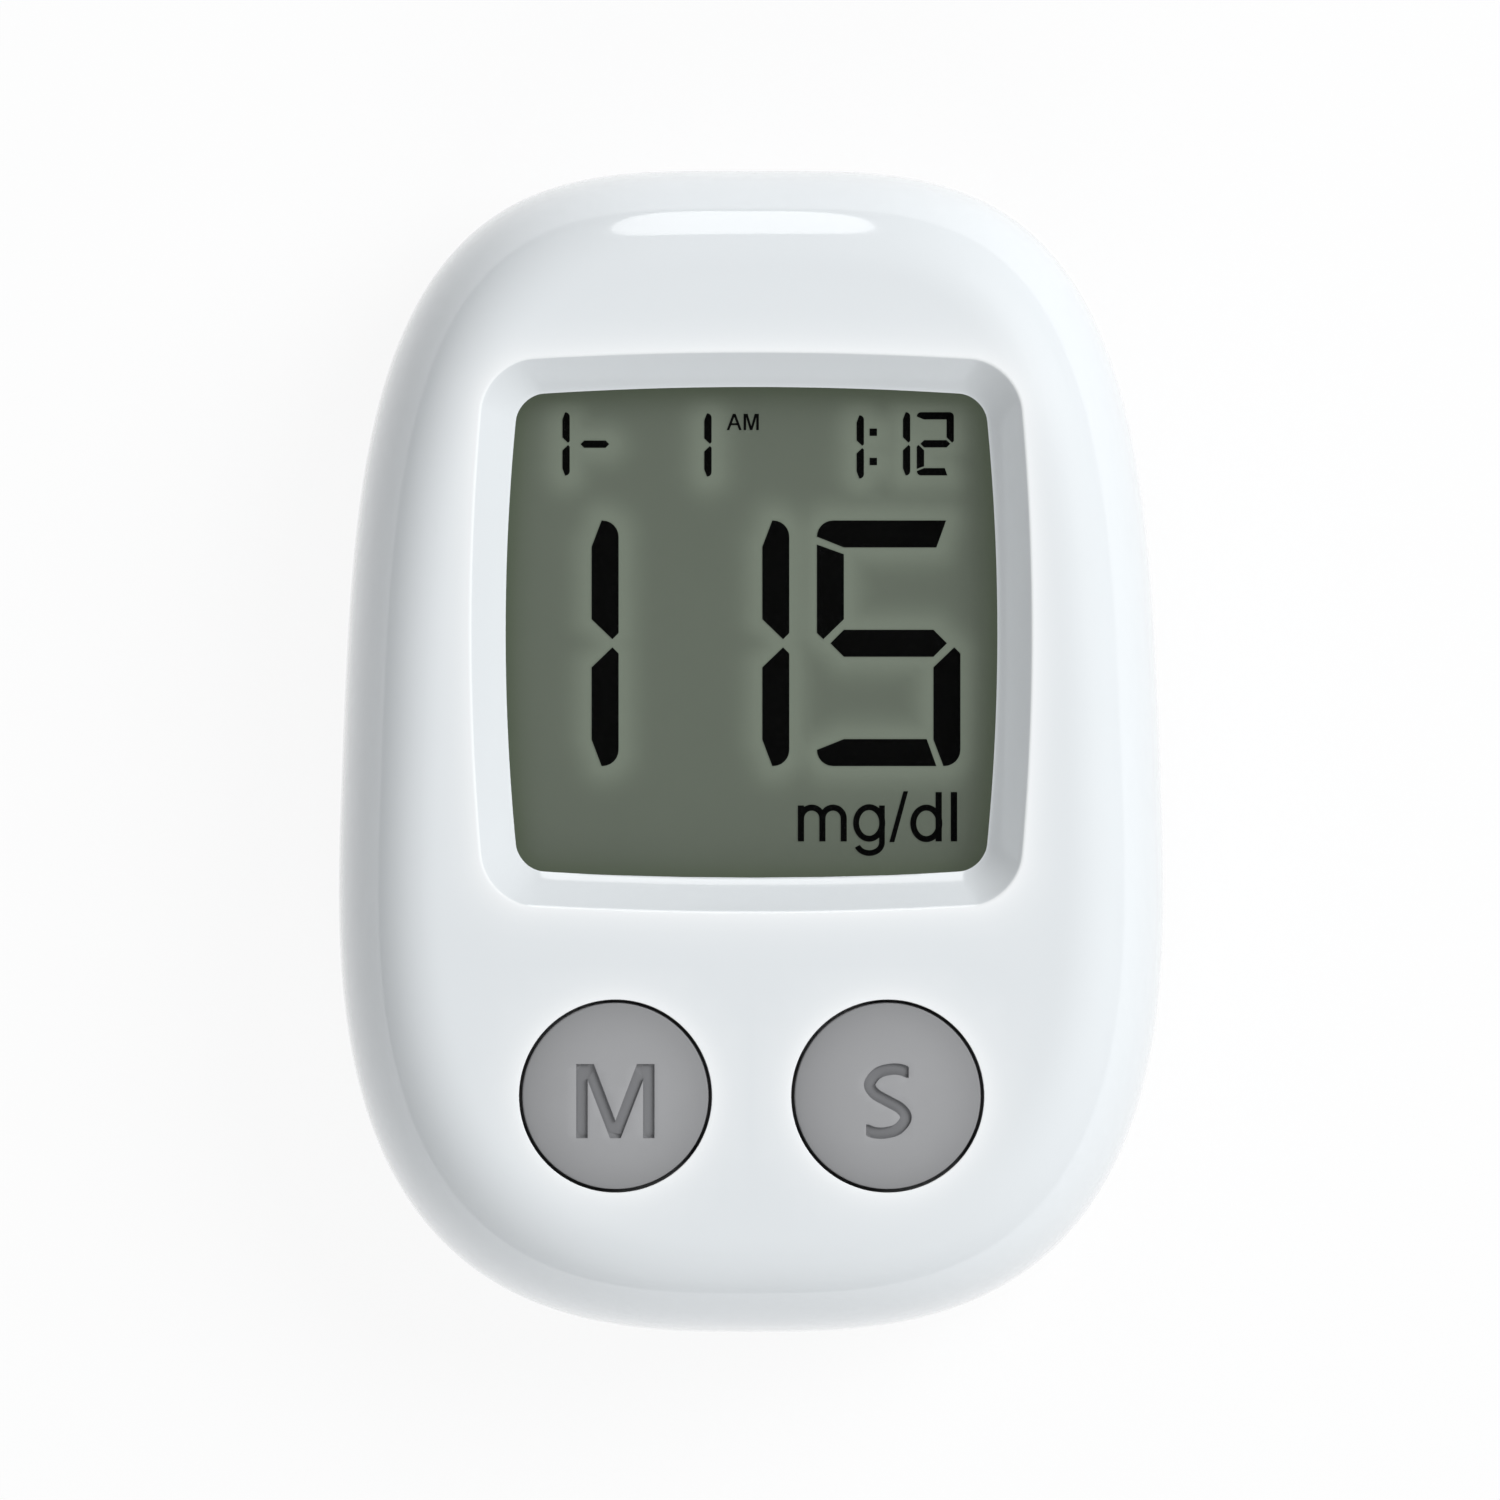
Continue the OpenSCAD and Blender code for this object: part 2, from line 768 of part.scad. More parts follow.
module memory_button() {
    color("darkgray")
        translate([-button_x, button_y, 0])
            difference() {
                button_body();
                engrave() polygon(letter_m());
            }
}

module set_button() {
    color("darkgray")
        translate([button_x, button_y, 0])
            difference() {
                button_body();
                engrave() polygon(letter_s());
            }
}

// Cut of a letter into the crown, a little below the button's centre
module engrave() {
    translate([0, -letter_drop, button_top + button_crown * 0.75 - letter_depth])
        linear_extrude(over + button_crown)
            children();
}

// Plain capital M
function letter_m() =
    let (
        h = letter_h / 2,
        t = letter_t,
        out = h * 1.05,
        in = out - t,
        dip = t * 0.42,
        knee = h * 0.42
    )
    [
        [-out, -h], [-in, -h], [-in, knee], [-dip, -h], [dip, -h], [in, knee], [in, -h], [out, -h],
        [out, h], [in - t * 0.15, h], [0, -knee], [-in + t * 0.15, h], [-out, h]
    ];

// Plain capital S
function letter_s() =
    let (
        t = letter_t,
        r = (letter_h - t) / 4,
        top = [0.1, r],
        low = [-0.1, -r]
    )
    ribbon(concat(
        arc(top, r, 35, 90, 4),
        arc(top, r, 110, 250, 8),
        arc(low, r, 70, -70, 8),
        arc(low, r, -90, -145, 4)
    ), t);

// Rubber sheet on the board with a dome below each button
module keypad_mat() {
    w = button_x + dome_r + mat_edge;
    h = dome_r + mat_edge;
    color("dimgray")
        difference() {
            union() {
                plate([0, button_y], 2 * w, 2 * h, dome_r, board_top, board_top + mat_t);
                at_buttons() rotate_extrude() polygon(dome_profile());
            }
            at_buttons() rotate_extrude() polygon(dome_hollow());
        }
}

// Half sections of a dome and of the room below it
function dome_profile() = [
    [0, board_top], [dome_r, board_top], [dome_r, board_top + mat_t],
    [dome_top_r, foot_z - 1.1], [dome_top_r, foot_z], [0, foot_z]
];

function dome_hollow() = [
    [0, board_top - over], [dome_r - dome_web, board_top - over], [dome_r - dome_web, board_top + mat_t],
    [dome_top_r - dome_web, foot_z - 1.1 - dome_web], [dome_top_r - dome_web, pill_z + pill_t],
    [0, pill_z + pill_t]
];

// Carbon pill on the underside of a dome
module contact_pill(x) {
    color("black")
        rod([x, button_y], pill_r, pill_z, pill_z + pill_t);
}

module memory_contact_pill() {
    contact_pill(-button_x);
}

module set_contact_pill() {
    contact_pill(button_x);
}

// Board with notches for the case columns and holes for its screws
module circuit_board() {
    color("seagreen")
        difference() {
            translate([0, 0, board_z])
                linear_extrude(board_t)
                    polygon(outline(board_inset));
            at_case_bosses() rod([0, 0], case_boss_r + 3 * slip, board_z - over, board_top + over);
            at_board_screws() rod([0, 0], board_screw_r + slip, board_z - over, board_top + over);
        }
}

// Screw at the origin with its head below the seat
module screw(r, l, head_r, head_t, seat_z) {
    difference() {
        union() {
            rod([0, 0], r, seat_z - slip, seat_z + l);
            rod([0, 0], head_r, seat_z - head_t, seat_z);
        }
        for (turn = [0, 90])
            rotate([0, 0, turn])
                box([-head_r * 0.6, head_r * 0.6], [-slot_half, slot_half],
                    [seat_z - head_t - over, seat_z - head_t * 0.5]);
    }
}

module board_screws() {
    color("silver")
        at_board_screws() screw(board_screw_r, board_screw_l, board_head_r, board_head_t, board_z);
}

module case_screws() {
    color("silver")
        at_case_bosses() screw(case_screw_r, case_screw_l, case_head_r, case_head_t, head_seat_z);
}

// The room beside the bay, where the parts under the board sit
side_x = bay_w / 2 + bay_wall + 5.6;

// Flat chip with rows of legs on two sides
module microcontroller() {
    half = 4;
    y = window_y - 14;
    color("black")
        union() {
            box([-side_x - half, -side_x + half], [y - half, y + half], [board_z - 1.5, board_z - 0.2]);
            for (k = [-4:4], s = [-1, 1])
                translate([-side_x, y + s * (half + 0.3), board_z - 0.45])
                    translate([k * 0.8, 0, 0])
                        cube([0.35, 1, 0.9], center = true);
        }
}

// Small metal can of the clock crystal, lying on the board
module crystal() {
    color("silver")
        translate([-side_x, window_y + 12, board_z - 1])
            rotate([90, 0, 0])
                cylinder(r = 1, h = 6);
}

// Round sounder with its sound hole
module buzzer() {
    color("black")
        translate([side_x, window_y - 14, 0])
            difference() {
                rod([0, 0], 4.5, board_z - 3.2, board_z);
                rod([0, 0], 0.8, board_z - 3.2 - over, board_z - 2.4);
            }
}

// Resistors and capacitors in rows under the board
module chip_components() {
    color("tan")
        for (row = [0:1], k = [0:4])
            translate([side_x - 4 + 2 * k, window_y + 6 + 3 * row, board_z - 0.35])
                cube([0.8, 1.6, 0.7], center = true);
}

// Housing that the test strip slides into, with a groove for each contact
module strip_connector() {
    color("ivory")
        difference() {
            box([-connector_w / 2, connector_w / 2], [connector_y0, connector_y1], [connector_z, board_z]);
            box([-strip_w / 2 - 0.2, strip_w / 2 + 0.2], [connector_y0 + 3, connector_y1 + over],
                [port_z - strip_h / 2, port_z + strip_h / 2]);
            for (k = [0:finger_n - 1])
                translate([finger_pitch * (k - (finger_n - 1) / 2), 0, 0])
                    box([-groove_w / 2, groove_w / 2], [connector_y0 - over, connector_y1 - 1.5],
                        [port_z + strip_h / 2 - 0.2, board_z - 0.8]);
        }
}

// Side view of one contact: tail on the board, then forwards and down to the strip
function finger_path() = [
    [connector_y0 - 1.6, board_z - 0.1],
    [connector_y0 - 0.7, board_z - 0.1],
    [connector_y0 - 0.4, board_z - 0.4],
    [connector_y0 - 0.4, board_z - 1.2],
    [connector_y0 + 0.2, board_z - 1.6],
    [connector_y1 - 5, port_z + 0.1],
    [connector_y1 - 4.4, port_z + 0.1],
    [connector_y1 - 2.6, port_z + 1]
];

module strip_contacts() {
    color("gold")
        for (k = [0:finger_n - 1])
            translate([finger_pitch * (k - (finger_n - 1) / 2) - finger_w / 2, 0, 0])
                rotate([90, 0, 90])
                    linear_extrude(finger_w)
                        polygon(ribbon(finger_path(), finger_t));
}

// Insert at the mouth of the port, held behind the case wall by its flange
module port_insert() {
    w = port_w / 2;
    h = port_h / 2;
    f = port_flange;
    color("slategray")
        difference() {
            union() {
                box([-w, w], [port_back_y, port_face_y], [port_z - h, port_z + h]);
                box([-w - f, w + f], [port_back_y, port_lip_y], [port_z - h - f, port_z + h + f]);
            }
            box([-strip_w / 2 - 0.3, strip_w / 2 + 0.3], [port_back_y - over, port_face_y + over],
                [port_z - strip_h / 2 - 0.2, port_z + strip_h / 2 + 0.2]);
            box([-strip_w / 2 - 1.5, strip_w / 2 + 1.5], [port_face_y - 0.8, port_face_y + over],
                [port_z - strip_h / 2 - 0.9, port_z + strip_h / 2 + 0.9]);
        }
}

// One cell lying along Y, with its nub at the front end
module cell() {
    rotate([90, 0, 0])
        translate([0, 0, -cell_l / 2])
            rotate_extrude()
                polygon([
                    [0, 0], [nub_r - 0.2, 0], [nub_r, 0.2], [nub_r, nub_l], [cell_r - 0.8, nub_l],
                    [cell_r - 0.8, nub_l + 0.2], [cell_r - 0.2, nub_l + 0.2], [cell_r, nub_l + 0.5],
                    [cell_r, cell_l - 0.4], [cell_r - 0.3, cell_l - 0.1], [cell_r - 1, cell_l - 0.1],
                    [cell_r - 1, cell_l], [0, cell_l]
                ]);
}

module battery_left() {
    color("darkslategray")
        translate([-cell_x, bay_y0 + spring_room + cell_l / 2, cell_z])
            cell();
}

module battery_right() {
    color("darkslategray")
        translate([cell_x, bay_y0 + plate_room + cell_l / 2, cell_z])
            mirror([0, 1, 0])
                cell();
}

// Conical spring from the origin along +Y, its wide end first
module coil_spring(l) {
    steps = coil_steps * coil_turns;
    wide = cell_r * 0.6;
    slim = cell_r * 0.36;
    rings = [
        for (k = [0:steps])
            let (
                a = 360 * k / coil_steps,
                r = wide + (slim - wide) * k / steps,
                y = (l - wire_d / 2) * k / steps
            )
            [for (j = [0:coil_sides - 1])
                let (b = 360 * j / coil_sides, q = r + wire_d / 2 * cos(b))
                [q * cos(a), y + wire_d / 2 * sin(b), q * sin(a)]]
    ];
    loft(rings);
}

// Raised dimple from the origin along +Y, to meet a cell's nub
module dimple(l) {
    rotate([-90, 0, 0])
        cylinder(r1 = 2.4, r2 = 1.4, h = l);
}

// Contact plate against the end wall of the bay, its tail up to the board
module contact_plate(x) {
    y = bay_y1 - plate_t - slip;
    box([x - plate_w / 2, x + plate_w / 2], [y, y + plate_t], [cell_z - plate_h / 2, cell_z + plate_h / 2]);
    box([x - tail_w / 2, x + tail_w / 2], [y, y + plate_t], [cell_z, board_z]);
}

module positive_contact() {
    color("silver")
        union() {
            contact_plate(-cell_x);
            translate([-cell_x, bay_y1 - plate_t, cell_z])
                mirror([0, 1, 0])
                    dimple(plate_room - plate_t - slip);
        }
}

module negative_contact() {
    color("silver")
        union() {
            contact_plate(cell_x);
            translate([cell_x, bay_y1 - plate_t / 2 - slip, cell_z])
                mirror([0, 1, 0])
                    coil_spring(spring_room - plate_t / 2 - 2 * slip);
        }
}

// Plate across both cells at the latch end, with a spring for one and a dimple for the other
module bridge_contact() {
    y = bay_y0 + slip;
    w = cell_x + plate_w / 2;
    color("silver")
        union() {
            box([-w, w], [y, y + plate_t], [cell_z - plate_h / 2, cell_z + plate_h / 2]);
            translate([-cell_x, y + plate_t / 2, cell_z])
                coil_spring(spring_room - plate_t / 2 - 2 * slip);
            translate([cell_x, y + plate_t / 2, cell_z])
                dimple(plate_room - plate_t / 2 - 2 * slip);
        }
}

front_cover();
rear_cover();
battery_door();
display_window();
window_tape();
front_polariser();
display_front_glass();
display_segments();
display_seal();
display_rear_glass();
rear_reflector();
display_holder();
zebra_connector();
memory_button();
set_button();
keypad_mat();
memory_contact_pill();
set_contact_pill();
circuit_board();
board_screws();
microcontroller();
crystal();
buzzer();
chip_components();
strip_connector();
strip_contacts();
port_insert();
battery_left();
battery_right();
positive_contact();
negative_contact();
bridge_contact();
case_screws();
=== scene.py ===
"""The looks of a pocket blood glucose meter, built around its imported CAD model.

Lengths are in millimetres in the frame of the CAD model. A mesh is scaled to metres when it becomes an object.
"""

import json
import math
from collections import namedtuple

import bmesh
import bpy
import numpy as np
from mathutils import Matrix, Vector
from mathutils.geometry import delaunay_2d_cdt

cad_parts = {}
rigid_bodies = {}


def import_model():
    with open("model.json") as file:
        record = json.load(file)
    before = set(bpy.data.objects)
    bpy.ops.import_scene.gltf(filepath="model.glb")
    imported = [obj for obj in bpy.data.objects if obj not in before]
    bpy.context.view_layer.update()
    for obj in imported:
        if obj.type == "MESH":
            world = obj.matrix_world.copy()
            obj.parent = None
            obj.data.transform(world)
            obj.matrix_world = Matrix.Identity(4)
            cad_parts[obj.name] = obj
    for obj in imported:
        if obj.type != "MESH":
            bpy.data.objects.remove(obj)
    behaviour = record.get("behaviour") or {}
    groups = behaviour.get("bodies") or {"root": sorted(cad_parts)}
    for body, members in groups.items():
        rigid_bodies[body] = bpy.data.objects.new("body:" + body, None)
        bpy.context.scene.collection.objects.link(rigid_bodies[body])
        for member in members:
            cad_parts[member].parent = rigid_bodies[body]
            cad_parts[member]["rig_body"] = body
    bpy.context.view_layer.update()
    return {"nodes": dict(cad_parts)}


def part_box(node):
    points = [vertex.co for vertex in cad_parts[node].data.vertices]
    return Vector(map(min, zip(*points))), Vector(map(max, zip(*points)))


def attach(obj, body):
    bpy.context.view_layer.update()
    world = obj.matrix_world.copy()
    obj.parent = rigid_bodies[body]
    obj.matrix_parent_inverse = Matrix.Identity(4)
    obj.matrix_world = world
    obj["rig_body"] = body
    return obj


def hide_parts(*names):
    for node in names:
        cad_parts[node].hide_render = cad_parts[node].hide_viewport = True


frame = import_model()

MM = 0.001
WELD = 0.0005              # points closer than this are one point


# ------------------------------ sizes

def box_mm(node):
    """Lowest and highest corner of a CAD node, in millimetres."""
    low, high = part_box(node)
    return np.array(low) / MM, np.array(high) / MM


FRONT_LOW, FRONT_HIGH = box_mm("front_cover")
REAR_LOW = box_mm("rear_cover")[0]
KEY_LOW, KEY_HIGH = box_mm("set_button")
DOOR_LOW, DOOR_HIGH = box_mm("battery_door")
PORT_LOW, PORT_HIGH = box_mm("port_insert")
SEGMENT_LOW, SEGMENT_HIGH = box_mm("display_segments")
LENS_LOW, LENS_HIGH = box_mm("display_window")

# The case: a squarish oval that narrows towards the display end, with rolled edges
HALF_W = 28.85             # half the oval's width before its taper
HALF_L = -FRONT_LOW[1]
AROUND = 384               # points around the case
SEAM_Z = 10.5              # height at which the covers meet
SQUARE = 3.16              # power of the oval, which grows towards the display end
SQUARE_SHIFT = 0.3         # how much that power grows
TAPER = 0.056              # share by which the oval narrows towards the display end
ROLL_FULL = 2.3            # power of a rolled edge's section
SKIN_T = 0.9               # thickness of the detailed skin on a cover
TRIM = 0.3                 # how far the CAD solid under a skin is cut back
SEAM_CHAMFER = 0.15
LIP_STEPS = 5              # rings over the rounded edge of an opening
WALL_ROOM = 0.1            # between an opening's wall in the skin and the CAD solid behind it
Face = namedtuple("Face", "z roll edge_run inward")
FRONT = Face(FRONT_HIGH[2], 7.0, 5.8, -1)
REAR = Face(REAR_LOW[2], 5.5, 2.0, 1)

# The display window and the sloped bezel around it
WINDOW_DROP = 0.08         # how far the opening sits below the lens's middle
WINDOW_Y = (LENS_LOW[1] + LENS_HIGH[1]) / 2 - WINDOW_DROP
WINDOW_HALF = np.array([17.3, 17.28])
WINDOW_R = 1.9
WINDOW_BULGE = np.array([0.052, 0.034])     # of the sides, and of the top and bottom
BEZEL_RUN = 2.4
TAPE_T = 0.2
FRAME_T = 0.5              # what is left of the cover at the window's edge
FRAME_Z = LENS_HIGH[2] + TAPE_T
BEZEL_DEPTH = FRONT_HIGH[2] - FRAME_Z - FRAME_T
BEZEL_CURVE = 1.08         # power of the slope, which is steepest at the outer edge
BEZEL_SOFT = 0.14          # half the height over which the slope runs into the face
BEZEL_OUT = 1.09           # share at which the bezel's rounded edge has reached the face
BEZEL_SHARES = (BEZEL_OUT, 1.06, 1.03, 1.0, 0.97, 0.94, 0.91, 0.88, 0.8, 0.7, 0.6, 0.5, 0.4, 0.3, 0.2, 0.1,
                0.03, -0.01)
BEZEL_BACK = 1.5           # how far below the face the bezel's back joins the skin's underside
PAINTED_GLOW_REACH = 1.1           # how far the painted light band around the front's openings reaches

# The buttons
KEY_X = (KEY_LOW[0] + KEY_HIGH[0]) / 2
KEY_Y = (KEY_LOW[1] + KEY_HIGH[1]) / 2
KEY_R = 6.52
KEY_HOLE_R = 6.77
KEY_BORE_R = KEY_HOLE_R + 0.015             # of the hole in the CAD solid under the skin
KEY_AROUND = 128           # points around a button and its hole
KEY_CROWN = 0.3
KEY_EDGE_Z = KEY_HIGH[2] - KEY_CROWN
KEY_RIM = 0.10             # radius of a button's edge
KEY_LIP = 0.06             # radius of the edge of a button's hole
KEY_SKIN_Z = 21.0          # underside of the part of a button that is made here
KEY_TRIM_Z = 21.5          # top of the CAD solid that is kept below it
LETTER_SIZE = {"M": (5.45, 5.16), "S": (3.28, 5.22)}
LETTER_T = 0.76
LETTER_DEPTH = 0.26
LETTER_LIP = 0.03
LETTER_DROP = 0.35         # how far a letter sits below its button's centre

# Openings of the back and of the display end
DOOR_GAP = 0.2
DOOR_EDGE = 0.2            # radius of the outer edge of the battery door
DOOR_FOOT = 1.8            # how far the hinge feet reach past the door's edge
LATCH_REACH = 3.4          # how far the latch reaches past the door's edge
LATCH_HALF = 4.5           # half the latch's width
LATCH_GAP = 0.5
PORT_FLANGE = 0.8          # rim of the port insert, hidden behind the skin
PORT_MARGIN = 0.12         # between the port insert and the skin
PORT_FLARE = 0.25          # how much wider the hole is at its mouth
WELL_R = 2.39
WELL_AROUND = 64           # points around a screw well
WELL_DEPTH = 3.98
WELLS = [(13.68, 33.80), (18.0, -29.96)]    # and the same to the left of the middle
WELL_BORE_R = WELL_R + 0.025                # of a well in the CAD solid under the skin


# ------------------------------ the case's surface

def outline(inset, count=AROUND):
    """Points of the case's outline, drawn in by an inset."""
    angle = np.arange(count) * (2 * math.pi / count)
    c, s = np.cos(angle), np.sin(angle)
    power = SQUARE + SQUARE_SHIFT * s
    across = (abs(c) / (HALF_W - inset)) ** power
    along = (abs(s) / (HALF_L - inset)) ** power
    reach = (across + along) ** (-1 / power)
    y = reach * s
    return np.column_stack([reach * c * (1 - TAPER * y / HALF_L), y])


def inset_at(xy):
    """How far points lie inside the case's outline, by halving."""
    y = xy[:, 1]
    x = abs(xy[:, 0]) / (1 - TAPER * y / HALF_L)
    power = SQUARE + SQUARE_SHIFT * y / np.maximum(np.hypot(x, y), 1e-9)
    low = np.full(len(xy), -1.0)
    high = np.full(len(xy), HALF_W - 0.1)
    for _ in range(36):
        middle = (low + high) / 2
        outside = (x / (HALF_W - middle)) ** power + (abs(y) / (HALF_L - middle)) ** power > 1
        high = np.where(outside, middle, high)
        low = np.where(outside, low, middle)
    return low


def window_loop(share, corner_steps=12, side_steps=40):
    """The window's outline at share 0, the bezel's outer outline at share 1, and those between and beyond."""
    half = WINDOW_HALF + BEZEL_RUN * share
    radius = WINDOW_R + BEZEL_RUN * share * 2 / 3
    points = []
    signs = np.array([[1, 1], [-1, 1], [-1, -1], [1, -1]])
    for quarter, sign in enumerate(signs):
        center = sign * (half - radius)
        way = (signs[(quarter + 1) % 4] - sign) / 2
        side = 2 * (half - radius)[quarter % 2]
        for k in range(corner_steps + 1):
            angle = math.pi / 2 * (quarter + k / corner_steps)
            points.append(center + radius * np.array([math.cos(angle), math.sin(angle)]))
        end = points[-1]
        points += [end + way * side * k / side_steps for k in range(1, side_steps)]
    points = np.array(points)
    bulged = points * (1 - WINDOW_BULGE * (points[:, ::-1] / half[::-1]) ** 2)
    return bulged + [0, WINDOW_Y]


def window_share(xy):
    """0 on the window's edge and 1 on the bezel's outer edge, by stepping towards it."""
    target = abs(xy - [0, WINDOW_Y])
    share = np.zeros(len(xy))
    for _ in range(8):
        half = WINDOW_HALF + BEZEL_RUN * share[:, None]
        radius = WINDOW_R + BEZEL_RUN * share * 2 / 3
        flat = target
        for _ in range(3):
            flat = target / (1 - WINDOW_BULGE * np.minimum(flat[:, ::-1] / half[:, ::-1], 1.5) ** 2)
        q = flat - (half - radius[:, None])
        outside = np.hypot(*np.maximum(q, 0).T) + np.minimum(q.max(1), 0) - radius
        share = share + outside / BEZEL_RUN
    return share


def surface_z(face, xy):
    """Height of a cover's skin: the rolled edge, the flat face and, in front, the bezel."""
    share = np.clip(inset_at(xy) / face.roll, 0, 1)
    cosine = (1 - share) ** (ROLL_FULL / 2)
    z = SEAM_Z + (face.z - SEAM_Z) * (1 - cosine ** 2) ** (1 / ROLL_FULL)
    if face is FRONT:
        near = np.maximum(window_share(xy), 0)
        slope = BEZEL_DEPTH * (1 - near ** BEZEL_CURVE)
        soft = (slope + BEZEL_SOFT) ** 2 / (4 * BEZEL_SOFT)
        z = z - np.where(slope > BEZEL_SOFT, slope, np.where(slope < -BEZEL_SOFT, 0, soft))
    return z


def at_surface(face, xy, depth=0.0):
    """Points on a cover's skin, or a depth below it."""
    return np.column_stack([xy, surface_z(face, xy) + face.inward * depth])


def roll_rings(face, inset, first_rise, last_run, steps):
    """Rings over a rolled edge, from a rise off the seam to a run in from the outline."""
    height = abs(face.z - SEAM_Z)
    start = math.asin((first_rise / height) ** (ROLL_FULL / 2))
    end = math.acos((1 - last_run / face.roll) ** (ROLL_FULL / 2))
    rings = []
    for k in range(steps + 1):
        angle = start + (end - start) * k / steps
        run = face.roll * (1 - math.cos(angle) ** (2 / ROLL_FULL))
        z = SEAM_Z + (face.z - SEAM_Z) * math.sin(angle) ** (2 / ROLL_FULL)
        rings.append(level(outline(inset + run), z))
    return rings


# ------------------------------ mesh helpers

def level(xy, z):
    """Flat points at one height."""
    return np.column_stack([xy, np.full(len(xy), float(z))])


def circle(center, radius, count):
    angle = np.arange(count) * (2 * math.pi / count)
    return np.array(center) + radius * np.column_stack([np.cos(angle), np.sin(angle)])


def rounding(radius, steps):
    """How far out and how far down each ring of a rounded edge lies."""
    turn = [math.pi / 2 * k / steps for k in range(steps + 1)]
    return [(radius * (1 - math.sin(angle)), radius * (1 - math.cos(angle))) for angle in turn]


def offset(loop, distance):
    """A closed loop, counterclockwise, moved outwards with mitred corners."""
    before = loop - np.roll(loop, 1, 0)
    after = np.roll(loop, -1, 0) - loop
    before /= np.linalg.norm(before, axis=1)[:, None]
    after /= np.linalg.norm(after, axis=1)[:, None]
    normal = np.column_stack([before[:, 1] + after[:, 1], -before[:, 0] - after[:, 0]])
    normal /= np.linalg.norm(normal, axis=1)[:, None]
    lean = normal[:, 0] * after[:, 1] - normal[:, 1] * after[:, 0]
    return loop + normal * (distance / np.maximum(lean, 0.3))[:, None]


def rounded(corners, radius, steps=8):
    """A counterclockwise polygon with every corner rounded."""
    corners = [np.array(c, float) for c in corners]
    points = []
    for k, corner in enumerate(corners):
        to_last = corners[k - 1] - corner
        to_next = corners[(k + 1) % len(corners)] - corner
        a = corner + to_last / np.linalg.norm(to_last) * radius
        b = corner + to_next / np.linalg.norm(to_next) * radius
        for t in np.linspace(0, 1, steps + 1):
            points.append((1 - t) ** 2 * a + 2 * t * (1 - t) * corner + t ** 2 * b)
    return np.array(points)


def dense(loop, step):
    """The same closed loop with points no further apart than a step."""
    points = []
    for a, b in zip(loop, np.roll(loop, -1, 0)):
        count = max(1, math.ceil(np.linalg.norm(b - a) / step))
        points += [a + (b - a) * k / count for k in range(count)]
    return np.array(points)


def grid_points(half_x, half_y, step):
    """Points of a grid around the origin."""
    x_steps, y_steps = [np.arange(-half, half + step / 2, step) for half in (half_x, half_y)]
    return np.array([(x, y) for x in x_steps for y in y_steps])


def add_object(name, data):
    obj = bpy.data.objects.new(name, data)
    bpy.context.scene.collection.objects.link(obj)
    return obj


def points_of(obj):
    """An object's vertices, in millimetres."""
    return np.array([v.co for v in obj.data.vertices]) / MM


def mark(obj, name, values):
    """Stores a number with each vertex, for a material to read."""
    obj.data.attributes.new(name, "FLOAT", "POINT").data.foreach_set("value", values)


def loft(rings):
    """Quads between closed rings of equally many points."""
    count = len(rings[0])
    faces = []
    for lower in range(0, (len(rings) - 1) * count, count):
        for k in range(count):
            following = (k + 1) % count
            faces.append((lower + k, lower + following, lower + count + following, lower + count + k))
    return np.vstack(rings), faces


def cap(ring):
    """One face over a ring."""
    return ring, [tuple(range(len(ring)))]


def patch(loops, height, *extra):
    """Triangles inside the first closed loop and outside the others, through extra points, raised by a function."""
    edges = []
    start = 0
    for loop in loops:
        count = len(loop)
        edges += [(start + k, start + (k + 1) % count) for k in range(count)]
        start += count
    flat = np.vstack([*loops, *extra])
    verts, _, faces, *_ = delaunay_2d_cdt([Vector(p) for p in flat], edges, [], 0, 1e-6)
    xy = np.array([tuple(v) for v in verts])
    middles = np.array([xy[list(f)].mean(0) for f in faces])
    wanted = inside(loops[0], middles)
    for hole in loops[1:]:
        wanted &= ~inside(hole, middles)
    return height(xy), [f for f, kept in zip(faces, wanted) if kept]


def inside(loop, xy):
    """Which points lie inside a closed loop."""
    x, y = xy[:, 0], xy[:, 1]
    crossings = np.zeros(len(xy), int)
    for (ax, ay), (bx, by) in zip(loop, np.roll(loop, -1, 0)):
        spans = (ay > y) != (by > y)
        with np.errstate(divide="ignore", invalid="ignore"):
            meets = ax + (y - ay) * (bx - ax) / (by - ay)
        crossings += spans & (x < meets)
    return crossings % 2 == 1


def solid(name, *parts):
    """A mesh object from parts, welded into one closed surface with its faces turned outwards."""
    mesh = bpy.data.meshes.new(name)
    bm = bmesh.new()
    for points, faces in parts:
        verts = [bm.verts.new(p) for p in points]
        for face in faces:
            bm.faces.new([verts[k] for k in face])
    bmesh.ops.remove_doubles(bm, verts=bm.verts, dist=WELD)
    loose = [v for v in bm.verts if not v.link_faces]
    bmesh.ops.delete(bm, geom=loose, context="VERTS")
    bmesh.ops.recalc_face_normals(bm, faces=bm.faces)
    open_edges = sum(len(e.link_faces) != 2 for e in bm.edges)
    if open_edges:
        print("open edges in", name, open_edges)
    bmesh.ops.scale(bm, vec=(MM, MM, MM), verts=bm.verts)
    bm.to_mesh(mesh)
    bm.free()
    return add_object(name, mesh)


def closed(rings):
    """The parts of a solid: quads between rings, and a face over the first and the last."""
    return [cap(rings[0]), loft(rings), cap(rings[-1])]


def plate(loop, low, high):
    """The parts of an upright solid over a flat outline."""
    return closed([level(loop, low), level(loop, high)])


def prism(loop, low, high):
    return solid("prism", *plate(loop, low, high))


